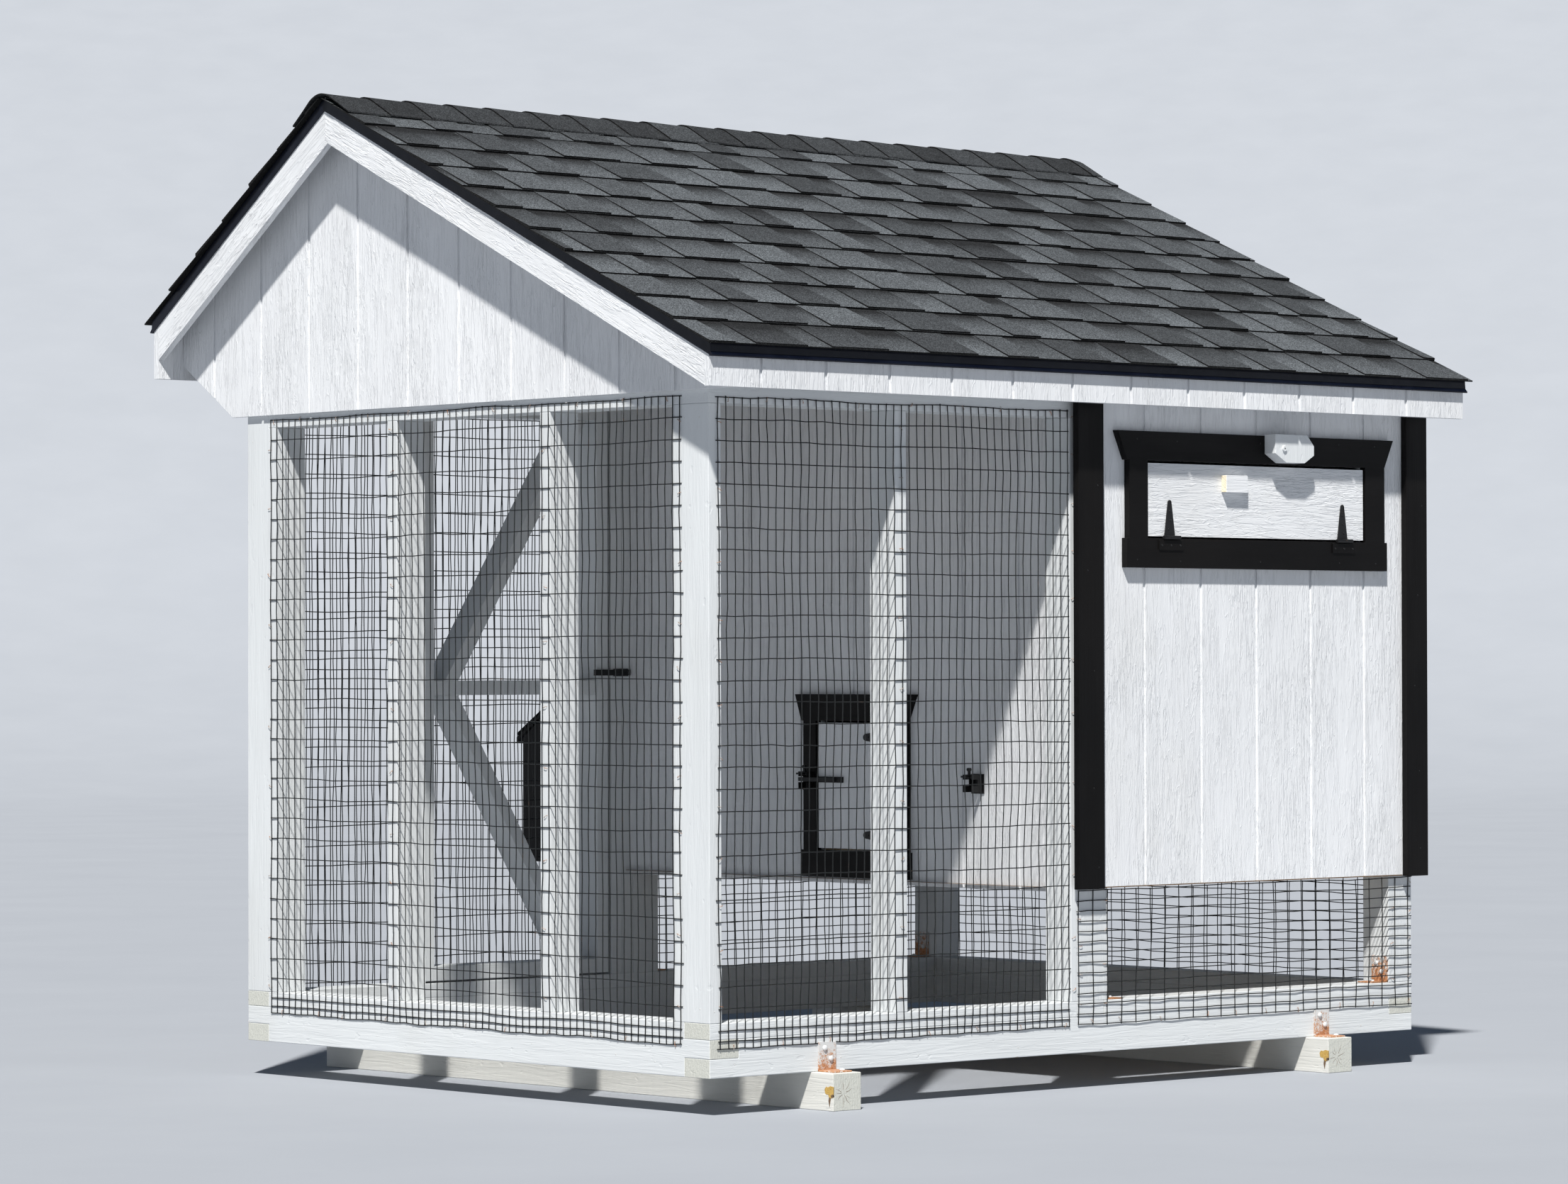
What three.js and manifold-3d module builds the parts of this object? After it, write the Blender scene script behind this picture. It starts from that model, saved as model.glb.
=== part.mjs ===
// Chicken coop with a mesh run: a 96 in by 71 in timber base on two skids, a raised
// sided house over the +X half, a wire run under and beside it, and a saltbox roof.
//
// Lumber and sheet goods are inch sizes, so the plan is written in inches and every
// solid is converted to millimetres when its mesh is made.
// Plan axes: x along the long front from the run's gable, y from the front to the
// back, z up from the top of the skids. The object's own frame has its origin at the
// bottom centre of the bounding box, +X towards the house end, -Y the front, +Z up.

import * as THREE from 'three';
import { mergeVertices } from 'three/addons/utils/BufferGeometryUtils.js';
import Module from 'manifold-3d';

const wasm = await Module();
wasm.setup();

// ---- driving dimensions, inches ------------------------------------------------
const IN = 25.4;            // mm per inch
const G = 0.012;            // clearance between touching pieces (0.3 mm)

const BASE_L = 96;          // base length, x
const BASE_W = 71;          // base width, y
const POST = 3.5;           // dressed 4x4, and the width of a dressed 2x4
const STUD = 1.5;           // thickness of a dressed 2x4
const BOARD = 0.75;         // thickness of a dressed 1x board
const SILL_TOP = POST + STUD;
const PLATE_Z = 61.7;       // underside of the front and gable top plates
const PLATE_TOP = 64.6;     // top of the doubled front plate
const BACK_PLATE_Z = 65.3;  // underside of the back top plate

const SKID_X = [12.5, 80];  // near edge of each skid
const SKID_Y = [-3, 74.5];  // skid ends

const RUN_END = 46.5;       // first edge of the posts between run and house
const WALL_X = 47.5;        // run face of the partition siding
const SIDING = 0.5;         // grooved panel siding
const GROOVE_PITCH = 8;     // grooves every 8 in
const GROOVE_W = 0.38;
const GROOVE_D = 0.17;
const HOUSE_Z = 16;         // bottom of the house siding
const FLOOR_Z = [16.1, 19]; // floor framing and deck

const RIDGE_Y = 53.3;       // the ridge sits behind the middle
const RIDGE_Z = 93.15;      // underside of the sheathing at the ridge
const FRONT_PITCH = 0.462;  // rise per run, long front slope
const BACK_PITCH = 0.7;     // rise per run, short back slope
const EAVE_FRONT = -4.25;   // outer face of the front fascia
const EAVE_BACK = 82.36;    // outer face of the back fascia
const RAKE_OUT = 3.5;       // overhang of the rake boards at each gable
const SHINGLE_OUT = 4.3;    // overhang of the shingles at each gable
const SHINGLE_X = [-SHINGLE_OUT, BASE_L + SHINGLE_OUT];
const DECK_T = 0.45;        // sheathing
const BUTT_T = 0.28;        // shingle thickness at its butt
const FC = 1 / Math.hypot(1, FRONT_PITCH), FS = FRONT_PITCH * FC;
const BC = 1 / Math.hypot(1, BACK_PITCH), BS = BACK_PITCH * BC;
const COURSE = 5.62;        // shingle exposure
const EAVE_TIP_FRONT = -4.7;
const EAVE_TIP_BACK = 83.05;

const MESH_T = 0.1;         // wire panel thickness, two crossed wires
const MESH_OFF = 0.02;

// hatch in the long front wall of the house
const HATCH = { x0: 56.1, x1: 87.8, z0: 50.1, z1: 57.75 };
const TRIM_OUT = -1.25;     // outer face of trim boards on the front wall
const HATCH_PIN = { y: -1.45, z: 50.2 };
const STRAP_X = [59.25, 84.45];
const BUTTON = { x: 74.05, z: 59.3, half: 1.42, long: 4.45, short: 1.25 };

// pop door in the partition, opening into the run
const POP = { y0: 26.4, y1: 37.1, z0: 18.85, z1: 32.05 };
const POP_FACE = WALL_X - BOARD;  // 46.75, outer face of its trim
const POP_PIN = { x: 46.55, y: 26.3 };
const POP_HINGE_Z = [30.4, 20.5];
const LATCH_Z = 26.05;
const LATCH_Y = [38.15, 13.93];     // closed-door latch, hold-open latch

// person door in the back wall of the run
const DOOR = { x0: 19.7, x1: 44.6, y0: 67.55, y1: 70.95, z0: 5.2, z1: 65.2 };
const DOOR_PIN = { x: 19.65, y: 71.35 };

// nest box on the back of the house
const NEST = { x0: 49, x1: 95, y0: 71.52, y1: 86.2, z0: 16.57, zTop: 30.3, pitch: 0.677 };

// ---- object frame -----------------------------------------------------------------
const Y_MIN = EAVE_TIP_FRONT - (DECK_T + BUTT_T) * FS;
const Y_MAX = 88;
const ORIGIN = [BASE_L / 2, (Y_MIN + Y_MAX) / 2, -POST];

// ---- solids -------------------------------------------------------------------------
function solid(geometry) {
  geometry.deleteAttribute('normal');
  geometry.deleteAttribute('uv');
  const g = mergeVertices(geometry, 1e-5);
  return new wasm.Manifold(new wasm.Mesh({
    numProp: 3,
    vertProperties: new Float32Array(g.attributes.position.array),
    triVerts: new Uint32Array(g.index.array),
  }));
}
function box(x0, x1, y0, y1, z0, z1) {
  const g = new THREE.BoxGeometry(x1 - x0, y1 - y0, z1 - z0);
  g.translate((x0 + x1) / 2, (y0 + y1) / 2, (z0 + z1) / 2);
  return solid(g);
}
// A polygon swept along one axis. Points are (y, z) for x, (x, z) for y, (x, y) for z.
function prism(axis, points, a0, a1) {
  const shape = new THREE.Shape(points.map(([u, v]) => new THREE.Vector2(u, v)));
  const g = new THREE.ExtrudeGeometry(shape, { depth: a1 - a0, bevelEnabled: false, steps: 1 });
  const m = new THREE.Matrix4();
  if (axis === 'x') m.set(0, 0, 1, a0, 1, 0, 0, 0, 0, 1, 0, 0, 0, 0, 0, 1);
  if (axis === 'y') m.set(1, 0, 0, 0, 0, 0, -1, a1, 0, 1, 0, 0, 0, 0, 0, 1);
  if (axis === 'z') m.set(1, 0, 0, 0, 0, 1, 0, 0, 0, 0, 1, a0, 0, 0, 0, 1);
  g.applyMatrix4(m);
  return solid(g);
}
function rod(axis, r, c, a0, a1, sides = 20) {
  const g = new THREE.CylinderGeometry(r, r, a1 - a0, sides);
  if (axis === 'x') g.rotateZ(Math.PI / 2);
  if (axis === 'z') g.rotateX(Math.PI / 2);
  const mid = (a0 + a1) / 2;
  if (axis === 'x') g.translate(mid, c[0], c[1]);
  if (axis === 'y') g.translate(c[0], mid, c[1]);
  if (axis === 'z') g.translate(c[0], c[1], mid);
  return solid(g);
}
const join = (...s) => s.reduce((a, b) => a.add(b));
const cut = (a, ...s) => s.reduce((p, q) => p.subtract(q), a);

// ---- scene ----------------------------------------------------------------------------
const coop = new THREE.Group();
coop.name = 'chicken_coop';
const looks = {
  paint: { color: 0xeceff0, roughness: 0.55, metalness: 0 },
  siding: { color: 0xe4e8ea, roughness: 0.62, metalness: 0 },
  black: { color: 0x101112, roughness: 0.45, metalness: 0 },
  iron: { color: 0x0d0d0e, roughness: 0.4, metalness: 0.6 },
  drip: { color: 0x121419, roughness: 0.3, metalness: 0.7 },
  wire: { color: 0x17191b, roughness: 0.5, metalness: 0.3 },
  shingle: { color: 0x3c3e41, roughness: 0.95, metalness: 0 },
  ply: { color: 0xb9a27a, roughness: 0.8, metalness: 0 },
};
function part(name, body, look) {
  const src = body.getMesh();
  const n = src.numProp;
  const count = src.vertProperties.length / n;
  const pos = new Float32Array(count * 3);
  for (let i = 0; i < count; i++) {
    for (let k = 0; k < 3; k++) {
      pos[i * 3 + k] = (src.vertProperties[i * n + k] - ORIGIN[k]) * IN;
    }
  }
  const g = new THREE.BufferGeometry();
  g.setAttribute('position', new THREE.BufferAttribute(pos, 3));
  g.setIndex(new THREE.BufferAttribute(new Uint32Array(src.triVerts), 1));
  g.computeVertexNormals();
  const mesh = new THREE.Mesh(g, new THREE.MeshStandardMaterial({ ...looks[look], flatShading: true }));
  mesh.name = name;
  coop.add(mesh);
}

// ---- base: skids, half-lapped rails and the flat sill ---------------------------------
SKID_X.forEach((x, i) => {
  part(i ? 'skid_right' : 'skid_left', box(x, x + POST, SKID_Y[0], SKID_Y[1], -POST, -G), 'paint');
});
const half = POST / 2;
const longRail = (y0) => join(
  box(0, BASE_L, y0, y0 + POST, 0, half - G / 2),
  box(POST + G, BASE_L - POST - G, y0, y0 + POST, half - 0.2, POST));
const crossRail = (x0) => join(
  box(x0, x0 + POST, 0, BASE_W, half + G / 2, POST),
  box(x0, x0 + POST, POST + G, BASE_W - POST - G, 0, half + 0.2));
part('base_rail_front', longRail(0), 'paint');
part('base_rail_back', longRail(BASE_W - POST), 'paint');
part('base_rail_left', crossRail(0), 'paint');
part('base_rail_right', crossRail(BASE_L - POST), 'paint');
part('sill_plate', cut(
  box(0, BASE_L, 0, BASE_W, POST + G, SILL_TOP),
  box(POST, BASE_L - POST, POST, BASE_W - POST, 0, 9)), 'paint');

// ---- posts, studs and plates -----------------------------------------------------------
const Z0 = SILL_TOP + G;
const ZF = PLATE_Z - G;
const ZB = BACK_PLATE_Z - G;
part('corner_post_front_left', prism('z',
  [[0, 0], [STUD, 0], [STUD, POST], [POST, POST], [POST, 5], [0, 5]], Z0, ZF), 'paint');
part('corner_post_back_left', join(
  prism('z', [[0, 66], [POST, 66], [POST, BASE_W - POST], [STUD, BASE_W - POST], [STUD, BASE_W], [0, BASE_W]], Z0, ZF),
  box(0, STUD, BASE_W - POST, BASE_W, ZF - 1, ZB)), 'paint');
part('gable_stud_front', box(0, POST, 22.8, 24.3, Z0, ZF), 'paint');
part('gable_stud_back', box(0, POST, 46.4, 47.9, Z0, ZF), 'paint');
part('run_stud_front', box(23.25, 24.75, 0, POST, Z0, ZF), 'paint');
part('mid_post_front', box(RUN_END, 51.5, 0, POST, Z0, ZF), 'paint');
part('mid_post_back', join(
  box(45, 51.5, BASE_W - POST, BASE_W, Z0, ZB),
  box(42.4, 47.3, 67.05, 67.4, 36.65, 37.35),
  box(45.4, 47.1, 67.2, 67.7, 36.72, 37.28)), 'paint');
part('door_jamb_stud', box(18.1, 19.6, BASE_W - POST, BASE_W, Z0, ZB), 'paint');
part('corner_post_front_right', box(BASE_L - POST, BASE_L, 0, POST, Z0, ZF), 'paint');
part('corner_post_back_right', box(BASE_L - POST, BASE_L, BASE_W - POST, BASE_W, Z0, ZB), 'paint');
part('top_plate_front_left', join(
  box(0, BASE_L, 0, POST, PLATE_Z, PLATE_TOP),
  box(0, POST, POST - 0.2, BASE_W - POST - G, PLATE_Z, PLATE_Z + STUD)), 'paint');
part('top_plate_back', box(0, BASE_L, BASE_W - POST, BASE_W, BACK_PLATE_Z, BACK_PLATE_Z + STUD), 'paint');

// ---- roof lines: underside of the sheathing at a given y -------------------------------
const front = (y) => RIDGE_Z - FRONT_PITCH * (RIDGE_Y - y);
const back = (y) => RIDGE_Z - BACK_PITCH * (y - RIDGE_Y);
const U = 0.02;             // gap under the sheathing

// ---- house -------------------------------------------------------------------------------
part('house_floor', cut(
  box(48 + G, BASE_L - G, G, BASE_W - G, FLOOR_Z[0], FLOOR_Z[1]),
  box(40, 51.5 + G, -1, POST + G, 0, 30), box(40, 51.5 + G, BASE_W - POST - G, 80, 0, 30),
  box(BASE_L - POST - G, 99, -1, POST + G, 0, 30),
  box(BASE_L - POST - G, 99, BASE_W - POST - G, 80, 0, 30)), 'ply');

const grooves = (make, a0, a1, first) => {
  const out = [];
  for (let a = first; a < a1; a += GROOVE_PITCH) if (a > a0 + 0.3 && a + GROOVE_W < a1 - 0.3) out.push(make(a));
  return out;
};
part('partition_wall', cut(
  prism('x', [[POST + G, 15.55], [BASE_W - POST - G, 15.55], [BASE_W - POST - G, back(BASE_W - POST - G) - U],
    [RIDGE_Y, RIDGE_Z - U], [POST + G, front(POST + G) - U]], WALL_X, WALL_X + SIDING),
  box(40, 60, POP.y0, POP.y1, POP.z0, POP.z1),
  ...grooves((a) => box(40, WALL_X + GROOVE_D, a, a + GROOVE_W, 0, 120), POST, BASE_W - POST, 7.9)), 'siding');
part('house_front_wall', cut(
  box(WALL_X, BASE_L, -SIDING, -G, HOUSE_Z, 66),
  box(HATCH.x0, HATCH.x1, -5, 5, HATCH.z0, HATCH.z1),
  ...grooves((a) => box(a, a + GROOVE_W, -5, -SIDING + GROOVE_D, 0, 120), WALL_X, BASE_L, 56.1)), 'siding');
const GABLE_Z = 62.95;
const gableTop = [[BASE_W + 2.05, GABLE_Z], [81.55, 68.55], [81.55, back(81.55) - U],
  [RIDGE_Y, RIDGE_Z - U], [-3.48, front(-3.48) - U], [-3.48, GABLE_Z]];
part('house_right_wall', cut(
  prism('x', [[-SIDING, HOUSE_Z], [BASE_W + SIDING, HOUSE_Z], [BASE_W + SIDING, GABLE_Z],
    ...gableTop.slice(0, -1), [-3.48, GABLE_Z + 0.4], [-SIDING, GABLE_Z + 0.4]], BASE_L + G, BASE_L + SIDING),
  ...grooves((a) => box(BASE_L + SIDING - GROOVE_D, 110, a, a + GROOVE_W, 0, 120), -4, 82, 3.9)), 'siding');
part('run_gable_siding', cut(
  prism('x', gableTop, -0.42, -G),
  ...grooves((a) => box(-9, -0.42 + GROOVE_D, a, a + GROOVE_W, 0, 120), -4, 82, 3.9)), 'siding');
const NEST_BAYS = [[49.75, 64.1], [64.85, 79.15], [79.9, 94.25]];
const NEST_HOLES = [[51.6, 62.6], [66.35, 77.65], [81.4, 92.3]];
part('back_wall', cut(
  prism('y', [[G, 65.6], [WALL_X, 65.6], [WALL_X, HOUSE_Z], [BASE_L, HOUSE_Z], [BASE_L, 80.2], [G, 80.2]],
    BASE_W + G, BASE_W + SIDING),
  ...NEST_HOLES.map(([a, b]) => box(a, b, 60, 90, 19.5, 30)),
  ...grooves((a) => box(a, a + GROOVE_W, BASE_W + SIDING - GROOVE_D, 90, 0, 120), 0, BASE_L, 3.9)), 'siding');
part('corner_trim_mid', box(46.45, 49.95, TRIM_OUT, -SIDING - G, 15.9, 65), 'black');
part('corner_trim_right', prism('z',
  [[94.1, TRIM_OUT], [97.25, TRIM_OUT], [97.25, 2.25], [BASE_L + SIDING + G, 2.25],
    [BASE_L + SIDING + G, -SIDING - G], [94.1, -SIDING - G]], 15.9, 63.3), 'black');

// ---- roof ----------------------------------------------------------------------------------
// Sheathing with the shingle courses laid on it: each course is thick at its butt and
// thin where the next one covers it.
function slope(yTip, c, s, sign, count) {
  const T_HI = BUTT_T, T_LO = 0.1;
  const z0 = sign > 0 ? front(yTip) : back(yTip);
  const at = (d, n) => [yTip + sign * (d * c - n * s), z0 + d * s + n * c];
  const pts = [at(0, DECK_T - 0.05)];
  for (let i = 0; i < count; i++) {
    pts.push(at(i * COURSE, DECK_T + T_HI));
    pts.push(at((i + 1) * COURSE, DECK_T + T_LO));
  }
  const end = count * COURSE;
  pts.push(at(end, DECK_T - 0.05));
  if (sign < 0) pts.reverse();
  return prism('x', pts, SHINGLE_X[0], SHINGLE_X[1]);
}
function deck(y0, y1, line, c) {
  const t = DECK_T / c;
  return prism('x', [[y0, line(y0)], [y1, line(y1)], [y1, line(y1) + t], [y0, line(y0) + t]],
    -RAKE_OUT + 0.02, BASE_L + RAKE_OUT - 0.02);
}
part('roof_front', join(deck(EAVE_FRONT - 0.02, RIDGE_Y - G, front, FC),
  slope(EAVE_TIP_FRONT, FC, FS, 1, 12)).intersect(box(-20, 120, -20, RIDGE_Y - G, 0, 120)), 'shingle');
part('roof_back', join(deck(RIDGE_Y + G, EAVE_BACK + 0.02, back, BC),
  slope(EAVE_TIP_BACK, BC, BS, -1, 7)).intersect(box(-20, 120, RIDGE_Y + G, 120, 0, 120)), 'shingle');
const CAP_N = DECK_T + BUTT_T + 0.02, CAP_T = 0.15, CAP_LEG = 5.6;
const fOff = (y, n) => front(y) + n / FC;
const bOff = (y, n) => back(y) + n / BC;
const capApex = (n) => {
  const y = RIDGE_Y + (n / BC - n / FC) / (FRONT_PITCH + BACK_PITCH);
  return [y, fOff(y, n)];
};
const capF = RIDGE_Y - CAP_LEG * FC, capB = RIDGE_Y + CAP_LEG * BC;
part('ridge_cap', prism('x', [
  [capF, fOff(capF, CAP_N)], capApex(CAP_N), [capB, bOff(capB, CAP_N)],
  [capB, bOff(capB, CAP_N + CAP_T)], capApex(CAP_N + CAP_T), [capF, fOff(capF, CAP_N + CAP_T)],
], SHINGLE_X[0], SHINGLE_X[1]), 'shingle');

part('fascia_front', cut(
  box(-RAKE_OUT, BASE_L + RAKE_OUT, EAVE_FRONT, EAVE_FRONT + BOARD, 62.95, 66.45),
  ...grooves((a) => box(a, a + GROOVE_W, -9, EAVE_FRONT + GROOVE_D, 0, 120), -3, 99, 2.5)), 'siding');
part('fascia_back', cut(
  box(-RAKE_OUT, BASE_L + RAKE_OUT, EAVE_BACK - BOARD, EAVE_BACK, 67.13, 72.7),
  ...grooves((a) => box(a, a + GROOVE_W, EAVE_BACK - GROOVE_D, 99, 0, 120), -3, 99, 2.5)), 'siding');
const rake = (x0) => {
  const y0 = EAVE_FRONT + BOARD + G, y1 = EAVE_BACK - BOARD - G;
  const wf = POST / FC, wb = POST / BC;
  const d = (wf - wb) / (FRONT_PITCH + BACK_PITCH);
  return prism('x', [
    [y0, front(y0) - U - wf], [RIDGE_Y + d, front(RIDGE_Y + d) - U - wf], [y1, back(y1) - U - wb],
    [y1, back(y1) - U], [RIDGE_Y, RIDGE_Z - U], [y0, front(y0) - U]], x0, x0 + BOARD);
};
part('rake_left', rake(-RAKE_OUT), 'paint');
part('rake_right', rake(BASE_L + RAKE_OUT - BOARD), 'paint');

// Drip edge: one folded metal angle along both eaves and both rakes.
const dripRake = (x0, x1) => {
  const a = EAVE_FRONT - 0.18, b = EAVE_BACK + 0.18, up = 0.36, lo = 0.77;
  return prism('x', [
    [a, front(a) - lo], [RIDGE_Y, RIDGE_Z - lo - 0.04], [b, back(b) - lo - 0.09],
    [b, back(b) + up], [RIDGE_Y, RIDGE_Z + up], [a, front(a) + up]], x0, x1);
};
const eaveF = EAVE_FRONT - 0.03, eaveB = EAVE_BACK + 0.03;
const zf = front(eaveF) + 0.3, zb = back(eaveB) + 0.3;
part('drip_edge', join(
  dripRake(-RAKE_OUT - 0.14, -RAKE_OUT - 0.02), dripRake(BASE_L + RAKE_OUT + 0.02, BASE_L + RAKE_OUT + 0.14),
  prism('x', [[eaveF, zf - 1.2], [eaveF, zf], [eaveF - 0.14, zf], [eaveF - 0.2, zf - 0.8], [eaveF - 0.48, zf - 1.12],
    [eaveF - 0.44, zf - 1.24]], -RAKE_OUT - 0.14, BASE_L + RAKE_OUT + 0.14),
  prism('x', [[eaveB, zb], [eaveB, zb - 1.2], [eaveB + 0.44, zb - 1.24], [eaveB + 0.48, zb - 1.12],
    [eaveB + 0.2, zb - 0.8], [eaveB + 0.14, zb]], -RAKE_OUT - 0.14, BASE_L + RAKE_OUT + 0.14)), 'drip');

// ---- hatch in the front wall ---------------------------------------------------------------
const yT0 = TRIM_OUT, yT1 = -SIDING - G;
part('hatch_trim', join(
  prism('y', [[53.2, HATCH.z1], [90.75, HATCH.z1], [92.1, 60.6], [51.9, 60.6]], yT0, yT1),
  box(53.5, HATCH.x0, yT0, yT1, HATCH.z0 - 0.2, HATCH.z1 + 0.2),
  box(HATCH.x1, 90.75, yT0, yT1, HATCH.z0 - 0.2, HATCH.z1 + 0.2),
  box(53.15, 91.1, yT0, yT1, 47.2, HATCH.z0),
  ...STRAP_X.map((x) => box(x - 1.7, x + 1.7, yT0 - 0.12, yT0 + 0.1, 48.95, 49.95))), 'black');
part('hatch_panel', box(HATCH.x0 + 0.15, HATCH.x1 - 0.15, -1.05, -0.3, 50.3, 57.5), 'siding');
part('hatch_pull', box(66.7, 69.8, -1.8, -1.05 - G, 54.8, 56.5), 'paint');
function strapShape(w0, w1, l) {
  const pts = [[-w0 / 2, 0], [w0 / 2, 0], [w1 / 2, l - w1 / 2]];
  for (let i = 1; i < 6; i++) {
    const t = (i / 6) * Math.PI;
    pts.push([(w1 / 2) * Math.cos(t), l - w1 / 2 + (w1 / 2) * Math.sin(t)]);
  }
  pts.push([-w1 / 2, l - w1 / 2]);
  return pts;
}
STRAP_X.forEach((x, i) => {
  part(i ? 'hatch_strap_right' : 'hatch_strap_left', join(
    prism('y', strapShape(1.5, 0.5, 3.65).map(([u, v]) => [x + u, HATCH_PIN.z + 0.05 + v]), -1.17, -1.05 - G),
    box(x - 0.75, x + 0.75, HATCH_PIN.y, -1.05 - G, HATCH_PIN.z - 0.07, HATCH_PIN.z + 0.13),
    rod('x', 0.19, [HATCH_PIN.y, HATCH_PIN.z], x - 1.15, x + 1.15)), 'iron');
});
// Turn button on the header, drawn turned clear of the hatch.
{
  const { x, z, half: h, long: l, short: s } = BUTTON;
  part('turn_button', join(
    prism('y', [[x - s, z + h], [x - s, z - h + 0.9], [x - s + 1.6, z - h], [x + l - 1.4, z - h],
      [x + l, z - h + 0.8], [x + l, z + h - 1.1], [x + l - 1, z + h]].reverse(), -2.75, TRIM_OUT - G),
    rod('y', 0.3, [x, z], -2.92, -2.7)), 'paint');
}

// ---- pop door in the partition ----------------------------------------------------------------
const popLatch = (face, root, c) => cut(join(
  box(root - 0.14, root - G, c - 0.88, c + 0.88, LATCH_Z - 1.1, LATCH_Z + 0.85),
  box(face - 0.85, root - 0.05, c - 0.68, c - 0.56, LATCH_Z - 0.95, LATCH_Z + 0.8),
  box(face - 0.85, root - 0.05, c + 0.56, c + 0.68, LATCH_Z - 0.95, LATCH_Z + 0.8)),
  box(face - 3, face - 0.02, c - 2, c + 2, LATCH_Z - 0.3, LATCH_Z + 0.3));
part('pop_trim', join(
  prism('x', [[23.8, POP.z1], [39.3, POP.z1], [40.25, 34.75], [22.6, 34.75]], POP_FACE, WALL_X - G),
  box(POP_FACE, WALL_X - G, 23.7, POP.y0, POP.z0 - 0.2, POP.z1 + 0.2),
  box(POP_FACE, WALL_X - G, POP.y1, 39, POP.z0 - 0.2, POP.z1 + 0.2),
  box(POP_FACE, WALL_X - G, 23.5, 39.3, 16.15, POP.z0),
  ...POP_HINGE_Z.map((z) => box(POP_FACE - 0.12, POP_FACE + 0.1, 24.85, 26.08, z - 1.6, z + 1.6)),
  popLatch(POP_FACE, POP_FACE + 0.1, LATCH_Y[0])), 'black');
part('pop_door_panel', box(46.95, 47.65, POP.y0 + 0.2, POP.y1 - 0.2, POP.z0 + 0.2, POP.z1 - 0.2), 'siding');
POP_HINGE_Z.forEach((z, i) => {
  part(i ? 'pop_strap_lower' : 'pop_strap_upper', join(
    prism('x', strapShape(1.5, 0.7, 3.55).map(([u, v]) => [26.5 + v, z - u]), 46.83, 46.94),
    box(46.5, 46.94, 26.45, 26.8, z - 0.7, z + 0.7),
    box(46.47, 46.7, 26.3, 26.6, z - 0.7, z + 0.7),
    rod('z', 0.17, [POP_PIN.x, POP_PIN.y], z - 1.1, z + 1.1)), 'iron');
});
part('pop_striker', join(
  box(46.6, 46.94, 33.1, 36.5, LATCH_Z - 0.3, LATCH_Z + 0.3),
  box(46.3, 46.7, 34, 39.3, LATCH_Z - 0.2, LATCH_Z + 0.2)), 'iron');
// Gravity latch pawl, drawn lifted: the arm points into the run and drops over the bar.
const pawl = (x, c) => join(
  rod('y', 0.17, [x, LATCH_Z + 0.6], c - 0.54, c + 0.54),
  box(x - 0.95, x, c - 0.25, c + 0.25, LATCH_Z + 0.51, LATCH_Z + 0.69),
  box(x - 0.11, x + 0.09, c - 0.12, c + 0.12, LATCH_Z + 0.6, LATCH_Z + 1.25),
  rod('y', 0.17, [x - 0.02, LATCH_Z + 1.3], c - 0.2, c + 0.2));
part('pop_pawl', pawl(46.15, LATCH_Y[0]), 'iron');
part('hold_latch', popLatch(POP_FACE + 0.1, WALL_X, LATCH_Y[1]), 'iron');
part('hold_pawl', pawl(46.25, LATCH_Y[1]), 'iron');

// ---- person door in the run's back wall -----------------------------------------------------------
{
  const { x0, x1, y0, y1, z0, z1 } = DOOR;
  const mz = [34.7, 36.2];
  const brace = (xa, za, xb, zb) => {
    const w = 0.75 / Math.sin(Math.atan2(Math.abs(zb - za), Math.abs(xb - xa)));
    return prism('y', xa < xb === zb > za
      ? [[xa - w, za], [xa + w, za], [xb + w, zb], [xb - w, zb]]
      : [[xa - w, za], [xb - w, zb], [xb + w, zb], [xa + w, za]], y0, y1);
  };
  part('run_door', join(
    box(x0, x0 + STUD, y0, y1, z0, z1), box(x1 - STUD, x1, y0, y1, z0, z1),
    box(x0, x1, y0, y1, z1 - STUD, z1), box(x0, x1, y0, y1, z0, z0 + STUD),
    box(x0, x1, y0, y1, mz[0], mz[1]),
    brace(23.4, mz[1] - 0.2, 40.99, z1 - STUD + 0.2),
    brace(40.3, z0 + STUD - 0.2, 23.35, mz[0] + 0.2)), 'paint');
  part('run_door_mesh', box(x0 + 0.3, x1 - 0.3, y1 + MESH_OFF, y1 + MESH_OFF + MESH_T, z0 + 0.3, z1 - 0.3), 'wire');
  [58, 12].forEach((z, i) => {
    part(i ? 'run_door_hinge_lower' : 'run_door_hinge_upper', join(
      box(x0 + 0.3, x0 + 1.42, 71.1, 71.22, z - 1.75, z + 1.75),
      box(x0 + 0.02, x0 + 0.5, 71.1, 71.4, z - 1.75, z + 1.75),
      rod('z', 0.2, [DOOR_PIN.x, DOOR_PIN.y], z - 1.75, z + 1.75)), 'iron');
  });
  const bx = 46.2, bz = 35.5;
  part('run_door_button', join(
    prism('y', [[bx - 0.7, bz - 0.6], [bx - 0.4, bz - 0.9], [bx + 0.4, bz - 0.9], [bx + 0.7, bz - 0.6],
      [bx + 0.7, bz + 2.6], [bx + 0.3, bz + 3.1], [bx - 0.3, bz + 3.1], [bx - 0.7, bz + 2.6]], 71.15, 72.1),
    rod('y', 0.4, [bx, bz], 71 + G, 71.3), rod('y', 0.28, [bx, bz], 72, 72.24)), 'paint');
}

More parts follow.
